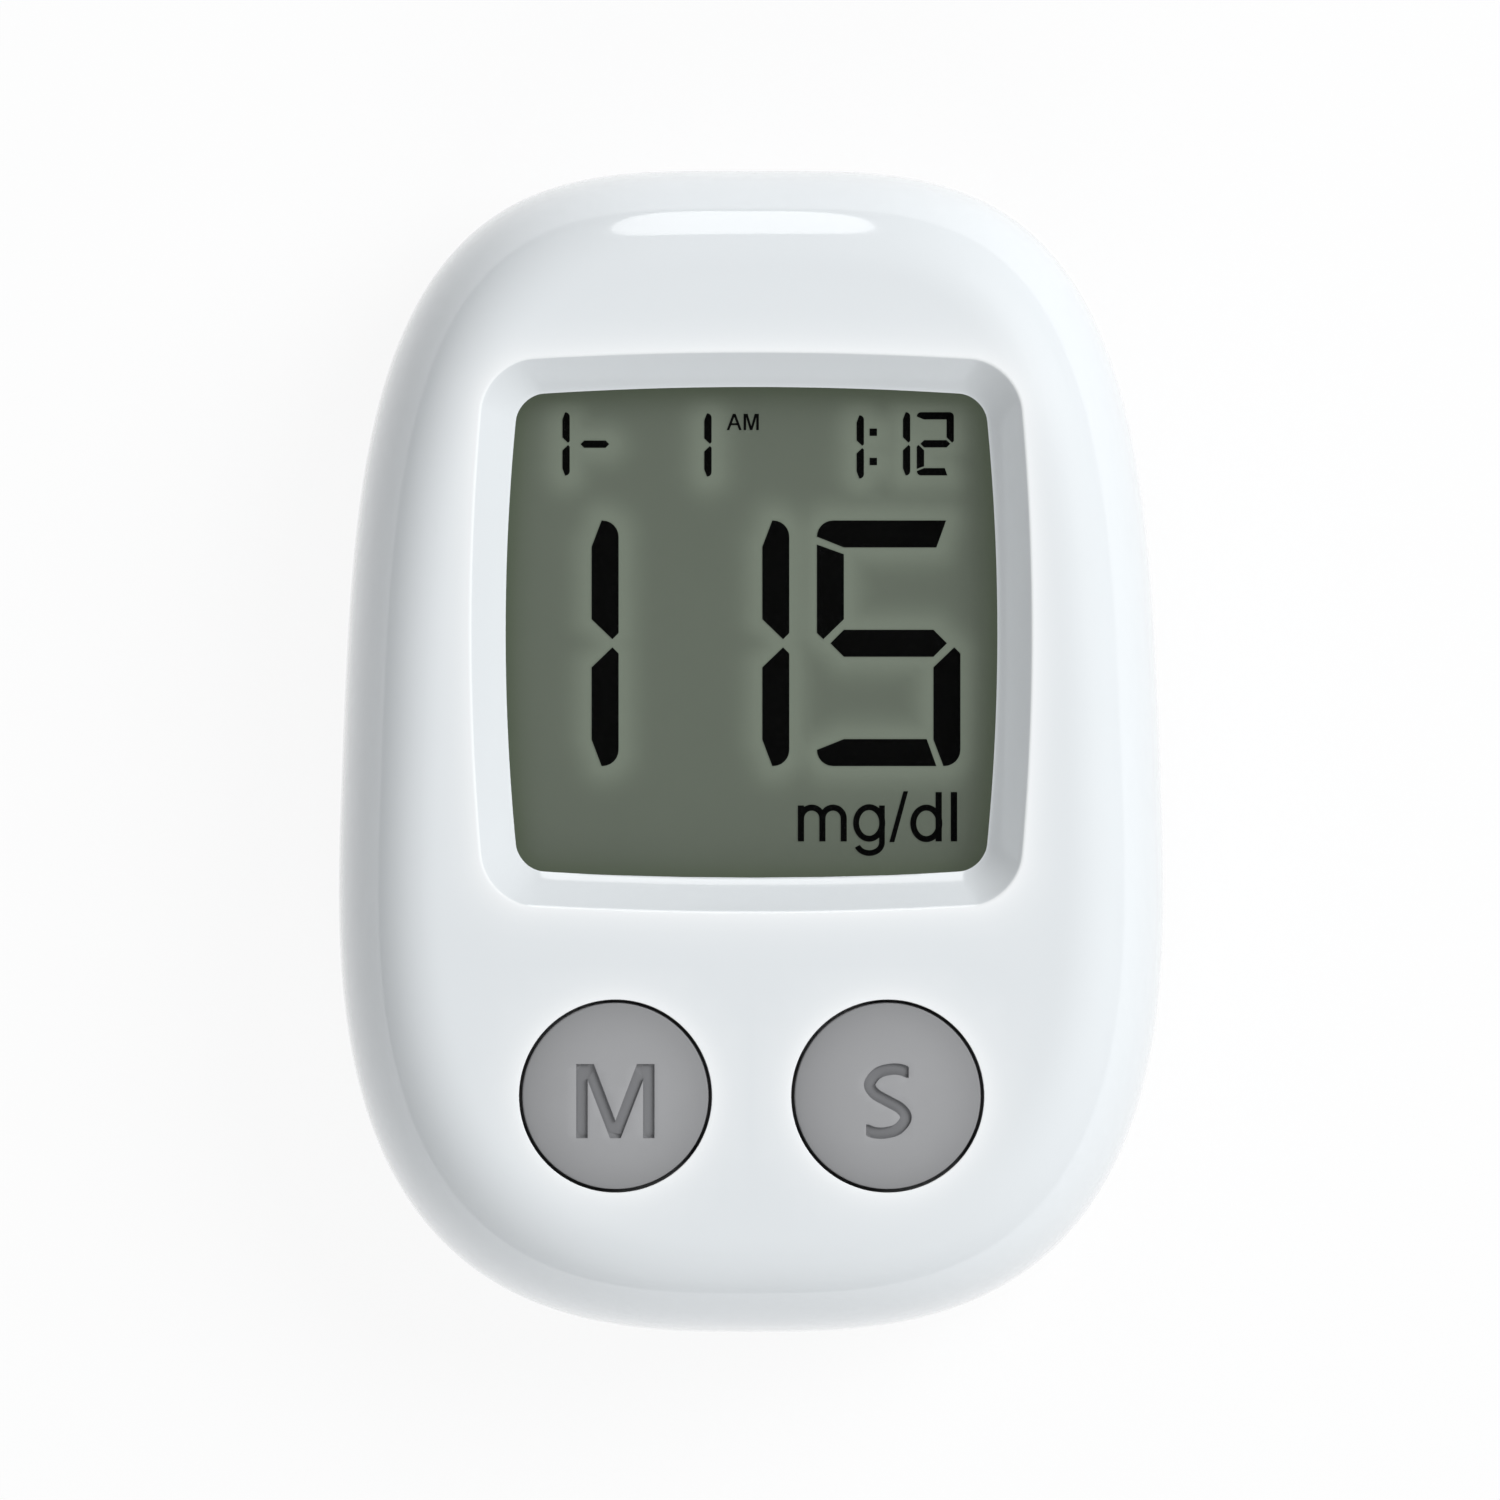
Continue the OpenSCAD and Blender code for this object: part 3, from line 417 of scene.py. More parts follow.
def copy_of(node, only_walls=False):
    """A welded copy of a CAD node's mesh, as a new object, with each flat face, or each upright one, made whole."""
    mesh = frame["nodes"][node].data.copy()
    mesh.materials.clear()
    bm = bmesh.new()
    bm.from_mesh(mesh)
    bmesh.ops.remove_doubles(bm, verts=bm.verts, dist=1e-7)
    edges = [e for e in bm.edges if not only_walls or all(abs(f.normal.z) < 0.01 for f in e.link_faces)]
    bmesh.ops.dissolve_limit(bm, angle_limit=math.radians(0.5), verts=bm.verts, edges=edges)
    bm.to_mesh(mesh)
    bm.free()
    return add_object(node + "_copy", mesh)


def combine(target, operation, other):
    """Target with another solid united, cut away or kept; the other object is used up."""
    modifier = target.modifiers.new("combine", "BOOLEAN")
    modifier.solver = "MANIFOLD"
    modifier.operation = operation
    modifier.object = other
    apply_modifiers(target)
    bpy.data.objects.remove(other)
    return target


def apply_modifiers(obj):
    bpy.context.view_layer.update()
    depsgraph = bpy.context.evaluated_depsgraph_get()
    mesh = bpy.data.meshes.new_from_object(obj.evaluated_get(depsgraph))
    obj.modifiers.clear()
    obj.data = mesh


def smooth(obj, angle=32, weight="FACE_AREA"):
    """Smooth shading with sharp edges, and normals that by default follow the large faces."""
    bm = bmesh.new()
    bm.from_mesh(obj.data)
    bmesh.ops.dissolve_degenerate(bm, dist=1e-7, edges=bm.edges)
    bmesh.ops.delete(bm, geom=[e for e in bm.edges if not e.link_faces], context="EDGES")
    bm.to_mesh(obj.data)
    bm.free()
    obj.data.shade_smooth()
    obj.data.set_sharp_from_angle(angle=math.radians(angle))
    weighted = obj.modifiers.new("weighted", "WEIGHTED_NORMAL")
    weighted.keep_sharp = True
    weighted.mode = weight
    apply_modifiers(obj)


def finish_piece(obj, name, node, material):
    """Gives a piece its name, finish and body, in place of the CAD node that it stands for."""
    obj.name = name
    obj.data.name = name
    obj.data.materials.clear()
    obj.data.materials.append(material)
    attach(obj, frame["nodes"][node]["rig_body"])
    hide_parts(node)
    return obj


# ------------------------------ shader helpers

def new_material(name):
    material = bpy.data.materials.new(name)
    material.use_nodes = True
    nodes = material.node_tree.nodes
    return material, nodes, material.node_tree.links, nodes["Principled BSDF"]


def noise(nodes, links, scale, detail=3.0, roughness=0.5):
    """Noise over the object's own coordinates, with a scale in waves per metre."""
    place = nodes.new("ShaderNodeTexCoord")
    texture = nodes.new("ShaderNodeTexNoise")
    texture.inputs["Scale"].default_value = scale
    texture.inputs["Detail"].default_value = detail
    texture.inputs["Roughness"].default_value = roughness
    links.new(place.outputs["Object"], texture.inputs["Vector"])
    return texture.outputs["Fac"]


def stored(nodes, name):
    """A number that the mesh stores with each vertex."""
    attribute = nodes.new("ShaderNodeAttribute")
    attribute.attribute_name = name
    return attribute.outputs["Fac"]


def larger(nodes, links, first, second):
    node = nodes.new("ShaderNodeMath")
    node.operation = "MAXIMUM"
    links.new(first, node.inputs[0])
    links.new(second, node.inputs[1])
    return node.outputs[0]


def spread(nodes, links, value, low, high, start=0.3, end=0.7):
    """A value mapped from start..end onto low..high."""
    span = nodes.new("ShaderNodeMapRange")
    span.inputs["From Min"].default_value = start
    span.inputs["From Max"].default_value = end
    span.inputs["To Min"].default_value = low
    span.inputs["To Max"].default_value = high
    links.new(value, span.inputs["Value"])
    return span.outputs["Result"]


def blend_colors(nodes, links, share, first, second):
    """A mix of two colours, each given as three numbers or as a socket."""
    mix = nodes.new("ShaderNodeMix")
    mix.data_type = "RGBA"
    links.new(share, mix.inputs["Factor"])
    for socket, color in ((mix.inputs["A"], first), (mix.inputs["B"], second)):
        if isinstance(color, bpy.types.NodeSocket):
            links.new(color, socket)
        else:
            socket.default_value = (*color, 1)
    return mix.outputs["Result"]


def bump(nodes, links, height, distance, strength, shader):
    node = nodes.new("ShaderNodeBump")
    node.inputs["Distance"].default_value = distance
    node.inputs["Strength"].default_value = strength
    links.new(height, node.inputs["Height"])
    links.new(node.outputs["Normal"], shader.inputs["Normal"])


def finish(name, color, shade, roughness, grain, relief, metal=0.0, coat=0.0, strength=0.3):
    """A material whose colour and roughness drift a little and whose surface has a fine grain.

    shade is how far the colour drifts, roughness a pair, grain in waves per metre, relief in metres.
    """
    material, nodes, links, shader = new_material(name)
    drift = noise(nodes, links, grain / 12)
    dark = [c * (1 - shade) for c in color]
    light = [min(1.0, c * (1 + shade)) for c in color]
    links.new(blend_colors(nodes, links, drift, dark, light), shader.inputs["Base Color"])
    fine = noise(nodes, links, grain)
    links.new(spread(nodes, links, fine, *roughness), shader.inputs["Roughness"])
    shader.inputs["Metallic"].default_value = metal
    shader.inputs["Coat Weight"].default_value = coat
    bump(nodes, links, fine, relief, strength, shader)
    return material


# ------------------------------ materials

def case_white():
    """Glossy white moulded plastic, with painted light: a lighter band along the edges of its openings."""
    material, nodes, links, shader = new_material("case_white")
    drift = noise(nodes, links, 90)
    body = blend_colors(nodes, links, drift, (0.765, 0.803, 0.828), (0.782, 0.818, 0.844))
    # painted light: the colour turns lighter near the openings, by the stored painted glow
    color = blend_colors(nodes, links, stored(nodes, "painted_edge_glow"), body, (0.93, 0.955, 0.97))
    links.new(color, shader.inputs["Base Color"])
    fine = noise(nodes, links, 2600)
    links.new(spread(nodes, links, fine, 0.08, 0.12), shader.inputs["Roughness"])
    shader.inputs["Coat Weight"].default_value = 0.5
    shader.inputs["Coat Roughness"].default_value = 0.03
    bump(nodes, links, noise(nodes, links, 700, detail=1.0), 0.000002, 0.2, shader)
    return material


def button_grey():
    """Satin grey plastic with a fine grain, with painted shade that makes it darker towards a button's rim."""
    material, nodes, links, shader = new_material("button_grey")
    drift = noise(nodes, links, 430)
    body = blend_colors(nodes, links, drift, (0.350, 0.354, 0.364), (0.372, 0.376, 0.388))
    # painted shade: darker towards the rim, by the stored painted rim shade
    color = blend_colors(nodes, links, stored(nodes, "painted_rim_shade"), body, (0.272, 0.276, 0.284))
    links.new(color, shader.inputs["Base Color"])
    fine = noise(nodes, links, 5200)
    links.new(spread(nodes, links, fine, 0.40, 0.48), shader.inputs["Roughness"])
    bump(nodes, links, fine, 0.000006, 0.3, shader)
    return material


def see_through(name, tint, gloss_roughness, mirror):
    """A clear layer: light goes straight through it, and it mirrors more the flatter one looks at it."""
    material, nodes, links, shader = new_material(name)
    nodes.remove(shader)
    clear = nodes.new("ShaderNodeBsdfTransparent")
    clear.inputs["Color"].default_value = (*tint, 1)
    gloss = nodes.new("ShaderNodeBsdfGlossy")
    gloss.inputs["Roughness"].default_value = gloss_roughness
    slant = nodes.new("ShaderNodeLayerWeight")
    slant.inputs["Blend"].default_value = mirror
    mix = nodes.new("ShaderNodeMixShader")
    links.new(slant.outputs["Facing"], mix.inputs["Fac"])
    links.new(clear.outputs["BSDF"], mix.inputs[1])
    links.new(gloss.outputs["BSDF"], mix.inputs[2])
    links.new(mix.outputs["Shader"], nodes["Material Output"].inputs["Surface"])
    return material


# Ground colours: a random drift between the first two, a painted lighter halo around the segments and painted shade
# along the window's edge
GROUND_DARK = (0.068, 0.077, 0.0625)
GROUND_LIGHT = (0.072, 0.081, 0.066)
GROUND_PAINTED_HALO = (0.100, 0.113, 0.092)
GROUND_PAINTED_SHADE = (0.054, 0.064, 0.046)
GROUND_PAINTED_GLOW = 1.1           # share of the ground's colour that it gives off by itself, as painted light


def display_ground():
    """Grey-green ground of the display, giving off painted light of its own, with a painted lighter halo around the
    segments and painted shade along the edge.
    """
    material, nodes, links, shader = new_material("display_ground")
    body = blend_colors(nodes, links, noise(nodes, links, 120), GROUND_DARK, GROUND_LIGHT)
    # painted light around the segments and painted shade along the window's edge
    body = blend_colors(nodes, links, stored(nodes, "painted_halo_near_segments"), body, GROUND_PAINTED_HALO)
    body = blend_colors(nodes, links, stored(nodes, "painted_shade_near_edge"), body, GROUND_PAINTED_SHADE)
    links.new(body, shader.inputs["Base Color"])
    # painted light: the ground gives off its own colour
    links.new(body, shader.inputs["Emission Color"])
    shader.inputs["Emission Strength"].default_value = GROUND_PAINTED_GLOW
    shader.inputs["Specular IOR Level"].default_value = 0.0
    fine = noise(nodes, links, 9000)
    links.new(spread(nodes, links, fine, 0.5, 0.62), shader.inputs["Roughness"])
    bump(nodes, links, fine, 0.000002, 0.2, shader)
    return material


def board_green():
    """Green solder mask over copper tracks."""
    material, nodes, links, shader = new_material("board_green")
    place = nodes.new("ShaderNodeTexCoord")
    tracks = nodes.new("ShaderNodeTexBrick")
    tracks.inputs["Scale"].default_value = 420
    tracks.inputs["Mortar Size"].default_value = 0.035
    tracks.inputs["Color1"].default_value = (0.012, 0.115, 0.045, 1)
    tracks.inputs["Color2"].default_value = (0.016, 0.135, 0.055, 1)
    tracks.inputs["Mortar"].default_value = (0.035, 0.23, 0.09, 1)
    links.new(place.outputs["Object"], tracks.inputs["Vector"])
    links.new(tracks.outputs["Color"], shader.inputs["Base Color"])
    links.new(spread(nodes, links, noise(nodes, links, 1500), 0.3, 0.42), shader.inputs["Roughness"])
    bump(nodes, links, tracks.outputs["Fac"], 0.00002, 0.4, shader)
    return material


CASE = case_white()
KEY = button_grey()
WINDOW = see_through("window_clear", (0.985, 0.99, 0.99), 0.02, 0.04)
FILM = see_through("polariser_film", (0.97, 0.975, 0.96), 0.05, 0.01)
GLASS = see_through("display_glass", (0.985, 0.99, 0.985), 0.03, 0.01)
GROUND = display_ground()
# Name, colour, its drift, roughness range, grain in waves per metre, relief in metres and what else differs
FINISHES = (
    # a darker colour for the floor and walls of a button's sunk letter
    ("button_inlay", (0.20, 0.203, 0.212), 0.02, (0.45, 0.55), 5200, 0.000006, {}),
    ("segment_black", (0.004, 0.004, 0.004), 0.1, (0.7, 0.8), 4000, 0.000001, {}),
    ("screw_steel", (0.62, 0.63, 0.65), 0.06, (0.25, 0.4), 3000, 0.000006, {"metal": 1.0}),
    ("reflector_film", (0.5, 0.52, 0.48), 0.05, (0.3, 0.4), 3000, 0.000003, {}),
    ("seal_epoxy", (0.1, 0.09, 0.07), 0.1, (0.4, 0.5), 2500, 0.00001, {}),
    ("frame_plastic", (0.62, 0.62, 0.6), 0.03, (0.45, 0.55), 3500, 0.000008, {}),
    ("zebra_rubber", (0.06, 0.06, 0.065), 0.5, (0.6, 0.7), 5000, 0.00001, {}),
    ("mat_rubber", (0.13, 0.13, 0.135), 0.05, (0.55, 0.65), 3500, 0.000008, {}),
    ("carbon_pill", (0.012, 0.012, 0.013), 0.2, (0.55, 0.7), 6000, 0.000008, {}),
    ("tape_black", (0.012, 0.012, 0.013), 0.1, (0.5, 0.6), 3000, 0.000004, {}),
    ("chip_black", (0.02, 0.02, 0.022), 0.1, (0.5, 0.62), 5000, 0.000012, {}),
    ("can_metal", (0.72, 0.72, 0.7), 0.04, (0.22, 0.32), 3000, 0.000004, {"metal": 1.0}),
    ("sounder_black", (0.022, 0.022, 0.025), 0.1, (0.4, 0.5), 3500, 0.000008, {}),
    ("chip_ceramic", (0.32, 0.24, 0.16), 0.12, (0.4, 0.5), 4000, 0.000008, {}),
    ("connector_ivory", (0.66, 0.62, 0.5), 0.03, (0.4, 0.5), 3500, 0.000008, {}),
    ("contact_gold", (0.83, 0.62, 0.24), 0.05, (0.2, 0.3), 4000, 0.000003, {"metal": 1.0}),
    ("port_grey", (0.30, 0.305, 0.315), 0.03, (0.4, 0.5), 4200, 0.000006, {}),
    ("cell_sleeve", (0.035, 0.1, 0.17), 0.05, (0.28, 0.36), 2500, 0.000006, {"coat": 0.4}),
    ("contact_nickel", (0.66, 0.65, 0.61), 0.05, (0.22, 0.34), 3500, 0.000005, {"metal": 1.0}),
)
BY_SLOT = {row[0]: finish(*row[:-1], **row[-1]) for row in FINISHES}
SEGMENT = BY_SLOT["segment_black"]
SEGMENT.node_tree.nodes["Principled BSDF"].inputs["Specular IOR Level"].default_value = 0.0
BY_SLOT |= {"case_white": CASE, "button_grey": KEY, "window_clear": WINDOW, "polariser_film": FILM,
            "display_glass": GLASS, "board_green": board_green()}
SLOTS = {name: obj.data.materials[0].name for name, obj in frame["nodes"].items()}
for name, obj in frame["nodes"].items():
    obj.data.materials[0] = BY_SLOT[SLOTS[name]]


# ------------------------------ camera

CAMERA_UP = 2.0            # metres above the face
VIEW_SPAN = 105.86         # millimetres of the object's plane across the picture
VIEW_CENTER = (-0.106, 0.07)
SENSOR = 36.0


def add_camera():
    data = bpy.data.cameras.new("camera")
    data.sensor_fit = "HORIZONTAL"
    data.sensor_width = SENSOR
    data.lens = SENSOR * CAMERA_UP / (VIEW_SPAN * MM)
    data.clip_end = 20
    camera = add_object("camera", data)
    camera.location = (VIEW_CENTER[0] * MM, VIEW_CENTER[1] * MM, CAMERA_UP + SEAM_Z * MM)
    bpy.context.scene.camera = camera


add_camera()


# ------------------------------ covers

def lip(face, loop, radius):
    """The rounded edge of an opening and its wall down to the skin's underside."""
    rings = [at_surface(face, offset(loop, out), down) for out, down in rounding(radius, LIP_STEPS)]
    return [*rings, at_surface(face, loop, SKIN_T)]


def free_points(face, openings, margin):
    """Points over a face patch: the outline's own rings, bands along the openings and a grid."""
    rings = [outline(run) for run in np.linspace(face.edge_run + 0.15, face.roll + 0.6, 9)]
    bands = [dense(offset(loop, margin + reach), 0.8) for loop in openings for reach in (0.3, 0.6, 1.0, 1.5)]
    grid = grid_points(int(HALF_W), int(HALF_L), 2.0)
    if face is FRONT:
        bands += [window_loop(share) for share in (1.2, 1.35, 1.6, 2.0)]
        grid = grid[window_share(grid) > 1.4]
    points = np.vstack([*rings, *bands, grid[inset_at(grid) > face.roll + 1]])
    good = inset_at(points) > face.edge_run + 0.1
    if face is FRONT:
        good &= window_share(points) > BEZEL_OUT + 0.04
    for loop in openings:
        good &= ~inside(offset(loop, margin + 0.12), points)
    return points[good]


def cover_skin(name, face, openings, radius):
    """The detailed outer skin of a cover, a closed shell that lies in the thickness of the CAD solid."""
    inner = face._replace(z=face.z + face.inward * SKIN_T)
    outer_rings = [level(outline(SEAM_CHAMFER), SEAM_Z)]
    outer_rings += roll_rings(face, 0, SEAM_CHAMFER, face.edge_run, 34)
    inner_rings = [level(outline(SKIN_T), SEAM_Z)]
    inner_rings += roll_rings(inner, SKIN_T, SEAM_CHAMFER, face.edge_run - SKIN_T - 0.5, 12)
    inner_rings.append(at_surface(face, outline(face.edge_run), SKIN_T))
    parts = [loft([*reversed(inner_rings), *outer_rings])]
    mouths = [offset(loop, radius) for loop in openings]
    parts += [loft(lip(face, loop, radius)) for loop in openings]
    holes = list(openings)
    if face is FRONT:
        slope = [at_surface(face, window_loop(share)) for share in BEZEL_SHARES]
        under = [level(window_loop(BEZEL_SHARES[-1]), FRAME_Z + 0.03)]
        under += [level(window_loop(0.2), FRAME_Z + 0.12), level(window_loop(1.0), face.z - BEZEL_BACK)]
        parts.append(loft([*slope, *under]))
        mouths.append(window_loop(BEZEL_OUT))
        holes.append(window_loop(1.0))
    edge = outline(face.edge_run)

    def under_z(xy):
        on_rim = inside(offset(window_loop(1.0), 0.05), xy) if face is FRONT else np.zeros(len(xy), bool)
        points = at_surface(face, xy, SKIN_T)
        points[on_rim, 2] = face.z - BEZEL_BACK
        return points

    parts.append(patch([edge, *mouths], lambda xy: at_surface(face, xy), free_points(face, openings, radius)))
    parts.append(patch([edge, *holes], under_z))
    return solid(name, *parts)


def trimmer(face, far_z):
    """A solid that keeps only what lies a little below a cover's skin."""
    inner = face._replace(z=face.z + face.inward * TRIM)
    edge_run = 4.0
    rings = [level(outline(TRIM, AROUND // 2), far_z)]
    rings += [ring[::2] for ring in roll_rings(inner, TRIM, 0.4, edge_run, 12)]
    edge = rings[-1][:, :2]
    grid = grid_points(int(HALF_W) - 3, int(HALF_L) - 3, 1.0)
    extra = [grid[inset_at(grid) > TRIM + edge_run + 0.4]]
    if face is FRONT:
        extra += [window_loop(share) for share in (0.0, 0.4, 0.8, 1.1)]

    def lowered(xy):
        points = at_surface(face, xy, TRIM)
        on_edge = inset_at(xy) < TRIM + edge_run + 0.01
        points[on_edge, 2] = rings[-1][0, 2]
        return points

    return solid("trimmer", cap(rings[0]), loft(rings), patch([edge], lowered, *extra))


def mark_edges(obj, openings):
    """Stores how near each point of the front face is to the bezel or a button, for the painted light band there.
    """
    points = points_of(obj)
    xy = points[:, :2]
    reach = (window_share(xy) - 1) * BEZEL_RUN
    for center in openings:
        reach = np.minimum(reach, np.hypot(*(xy - center).T) - KEY_HOLE_R)
    # painted light: a lighter band that fades away from the bezel and the buttons
    glow = np.exp(-np.maximum(reach, 0) / PAINTED_GLOW_REACH) * (reach > -0.05) * (points[:, 2] > FRONT.z - 1)
    mark(obj, "painted_edge_glow", glow)


def port_cutter():
    """The strip port's hole through a skin, a little wider at its mouth."""
    middle = (PORT_LOW[2] + PORT_HIGH[2]) / 2
    half = (PORT_HIGH - PORT_LOW)[[0, 2]] / 2 - PORT_FLANGE + PORT_MARGIN
    face_y = PORT_HIGH[1]
    rings = []
    for y, flare in ((PORT_LOW[1] - 3, 0), (face_y + 0.05, 0), (HALF_L, PORT_FLARE), (HALF_L + 2, PORT_FLARE)):
        x, z = half + flare
        rings.append(np.array([(-x, y, middle - z), (-x, y, middle + z), (x, y, middle + z), (x, y, middle - z)]))
    return solid("port_cutter", *closed(rings))


def plug(face, loop):
    """A solid that clears the CAD solid from behind the wall that the skin gives an opening."""
    ring = offset(loop, WALL_ROOM)
    return solid("plug", *closed([at_surface(face, ring, SKIN_T - 0.05), level(ring, face.z - face.inward * 5)]))


def covered(name, node, skin, face, far_z, openings, bores):
    """A cover: the CAD solid trimmed back under its skin, with its bores rounder, and the skin fused to it."""
    core = combine(copy_of(node, only_walls=True), "INTERSECT", trimmer(face, far_z))
    for cutter in [plug(face, loop) for loop in openings] + bores:
        combine(core, "DIFFERENCE", cutter)
    combine(skin, "DIFFERENCE", port_cutter())
    combine(skin, "UNION", core)
    smooth(skin, weight="CORNER_ANGLE")
    return finish_piece(skin, name, node, CASE)


def front_cover():
    centers = [np.array([side * KEY_X, KEY_Y]) for side in (-1, 1)]
    holes = [circle(center, KEY_HOLE_R, KEY_AROUND) for center in centers]
    skin = cover_skin("front_skin", FRONT, holes, KEY_LIP)
    bores = [prism(circle(center, KEY_BORE_R, KEY_AROUND), FRONT.z - 4, FRONT.z) for center in centers]
    cover = covered("front_shell", "front_cover", skin, FRONT, -1.0, holes, bores)
    mark_edges(cover, centers)


def door_outline(gap, latch_gap, high, radius):
    """The battery door's outline with its latch, widened by a gap."""
    x, latch_x = DOOR_HIGH[0] + gap, LATCH_HALF + latch_gap
    low, latch_low = DOOR_LOW[1] + LATCH_REACH - gap, DOOR_LOW[1] - latch_gap
    return rounded([(-latch_x, low), (-latch_x, latch_low), (latch_x, latch_low), (latch_x, low),
                    (x, low), (x, high), (-x, high), (-x, low)], radius, 4)


def rear_cover():
    high = DOOR_HIGH[1] - DOOR_FOOT + DOOR_GAP
    recess = door_outline(DOOR_GAP, LATCH_GAP, high, 0.5)
    centers = [(side * x, y) for x, y in WELLS for side in (-1, 1)]
    openings = [dense(recess, 1.0)] + [circle(center, WELL_R, WELL_AROUND) for center in centers]
    skin = cover_skin("rear_skin", REAR, openings, 0.2)
    bores = [prism(circle(center, WELL_BORE_R, WELL_AROUND), REAR.z, WELL_DEPTH) for center in centers]
    covered("rear_shell", "rear_cover", skin, REAR, 30.0, openings, bores)


front_cover()
rear_cover()


# ------------------------------ letters and segments

def ribbon(path, width):
    """An open path widened to a closed outline."""
    path = np.array(path, float)
    ways = np.gradient(path, axis=0)
    ways /= np.linalg.norm(ways, axis=1)[:, None]
    side = np.column_stack([ways[:, 1], -ways[:, 0]]) * width / 2
    return np.vstack([path + side, (path - side)[::-1]])


def arc(center, radii, start, end, steps=16):
    """Points of an ellipse's arc, with its angles in degrees."""
    angle = np.radians(np.linspace(start, end, steps + 1))
    return np.array(center) + np.column_stack([np.cos(angle), np.sin(angle)]) * radii


def capital_m(width, height, stroke):
    """A plain M around the origin."""
    x, y = width / 2, height / 2
    foot = stroke * 0.48
    inner = x - stroke
    knee = y - stroke * 1.33
    shoulder = inner - stroke * 0.58
    return np.array([
        (-x, -y), (-inner, -y), (-inner, knee), (-foot, -y), (foot, -y), (inner, knee), (inner, -y), (x, -y),
        (x, y), (shoulder, y), (0, -y + stroke * 1.5), (-shoulder, y), (-x, y)])


def smooth_path(points, steps=8):
    """A Catmull-Rom curve through points."""
    points = np.array(points, float)
    padded = np.vstack([2 * points[0] - points[1], points, 2 * points[-1] - points[-2]])
    path = []
    for k in range(1, len(padded) - 2):
        p0, p1, p2, p3 = padded[k - 1:k + 3]
        for t in np.arange(steps) / steps:
            path.append(0.5 * (2 * p1 + (p2 - p0) * t + (2 * p0 - 5 * p1 + 4 * p2 - p3) * t ** 2
                               + (3 * p1 - p0 - 3 * p2 + p3) * t ** 3))
    return np.array([*path, points[-1]])


def capital_s(width, height, stroke):
    """A plain S around the origin, with its ends cut upright."""
    x, y = (width - stroke) / 2, (height - stroke) / 2
    upper = [(1.16 * x, 0.90 * y), (0.72 * x, 0.99 * y), (0.15 * x, y), (-0.55 * x, 0.88 * y), (-x, 0.54 * y),
             (-0.72 * x, 0.24 * y)]
    lower = [(-a * 1.02, -b) for a, b in reversed(upper)]
    one, other = np.split(ribbon(smooth_path([*upper, (0, 0), *lower]), stroke), 2)
    ends = [(a[0] + b[0]) / 2 for a, b in ((one[0], other[-1]), (one[-1], other[0]))]
    strip = np.vstack([thinned(squared(side, ways), 0.07) for side, ways in ((one, ends), (other, ends[::-1]))])
    return strip[::-1] if signed_area(strip) < 0 else strip


def squared(path, ends):
    """An open path that starts and ends at given x, without the points beyond them."""
    reach = 9
    for x in ends:
        way = np.sign(path[0, 0] - path[reach, 0])
        short = way * (path[:reach, 0] - x) < -0.02
        path = np.vstack([(x, path[0, 1]), path[:reach][short], path[reach:]])[::-1]
    return path


def thinned(path, gap):
    """An open path without the points that crowd the one before them."""
    kept = [path[0]]
    for point in path[1:-1]:
        if min(np.linalg.norm(point - kept[-1]), np.linalg.norm(point - path[-1])) > gap:
            kept.append(point)
    return np.array([*kept, path[-1]])


def signed_area(loop):
    x, y = loop.T
    return (x * np.roll(y, -1) - np.roll(x, -1) * y).sum() / 2


def bar_shapes(w, h, t):
    """The seven bars of a digit, a to g clockwise from the top, from its lower left corner."""
    mid = h / 2
    bend = 0.6 * t

    def down(points):
        return [(x, h - y) for x, y in points]

    b = [*arc((w - bend, h - bend), (bend, bend), 0, 90, 6), (w - 0.63 * t, h), (w - t, h - 0.98 * t),
         (w - t, mid + 0.89 * t), (w - 0.23 * t, mid + 0.15 * t), (w, mid + 0.38 * t)]
    f = [(0, h - 0.89 * t), (0, mid + 0.38 * t), (0.24 * t, mid + 0.15 * t), (t, mid + 0.89 * t),
         (t, h - 1.25 * t)]
    a = [*arc((bend, h - bend), (bend, bend), 90, 180, 6), (t, h - t), (w - 0.89 * t, h - t),
         (w - 0.53 * t, h)]
    d = [*arc((bend, bend), (bend, bend), 180, 270, 6), (w - 0.89 * t, 0), (w - 1.25 * t, t), (t, t)]
    g = [(0.5 * t, mid), (t, mid - 0.5 * t), (w - t, mid - 0.5 * t), (w - 0.5 * t, mid),
         (w - t, mid + 0.5 * t), (t, mid + 0.5 * t)]
    bars = {"a": a, "b": b, "c": down(b), "d": d, "e": down(f), "f": f, "g": g}
    return {name: np.array(points) for name, points in bars.items()}


BARS_OF = {"1": "bc", "2": "abged", "5": "afgcd"}


def digit(sign, corner, w, h, t):
    """The lit bars of a digit, with its lower right corner at a place."""
    shapes = bar_shapes(w, h, t)
    return [shapes[bar] + [corner[0] - w, corner[1]] for bar in BARS_OF[sign]]


def ring_plate(center, radii, width, low, high):
    """A flat elliptic ring made into a thin solid."""
    outer = arc(center, np.array(radii) + width / 2, 0, 360, 48)[:-1]
    inner = arc(center, np.array(radii) - width / 2, 0, 360, 48)[:-1]
    loops = [level(outer, low), level(outer, high), level(inner, high), level(inner, low), level(outer, low)]
    return [loft(loops)]


def fused(solids):
    """Overlapping solids united into one object."""
    made = [solid("fused", *parts) for parts in solids]
    for other in made[1:]:
        combine(made[0], "UNION", other)
    return made[0]


GLASS_GAP = 0.02           # keeps the segments clear of the glass above them
PAINTED_HALO_REACH = 1.35          # of the painted lighter halo around the segments
PAINTED_SHADE_REACH = 1.05           # of the painted shade along the window's edge

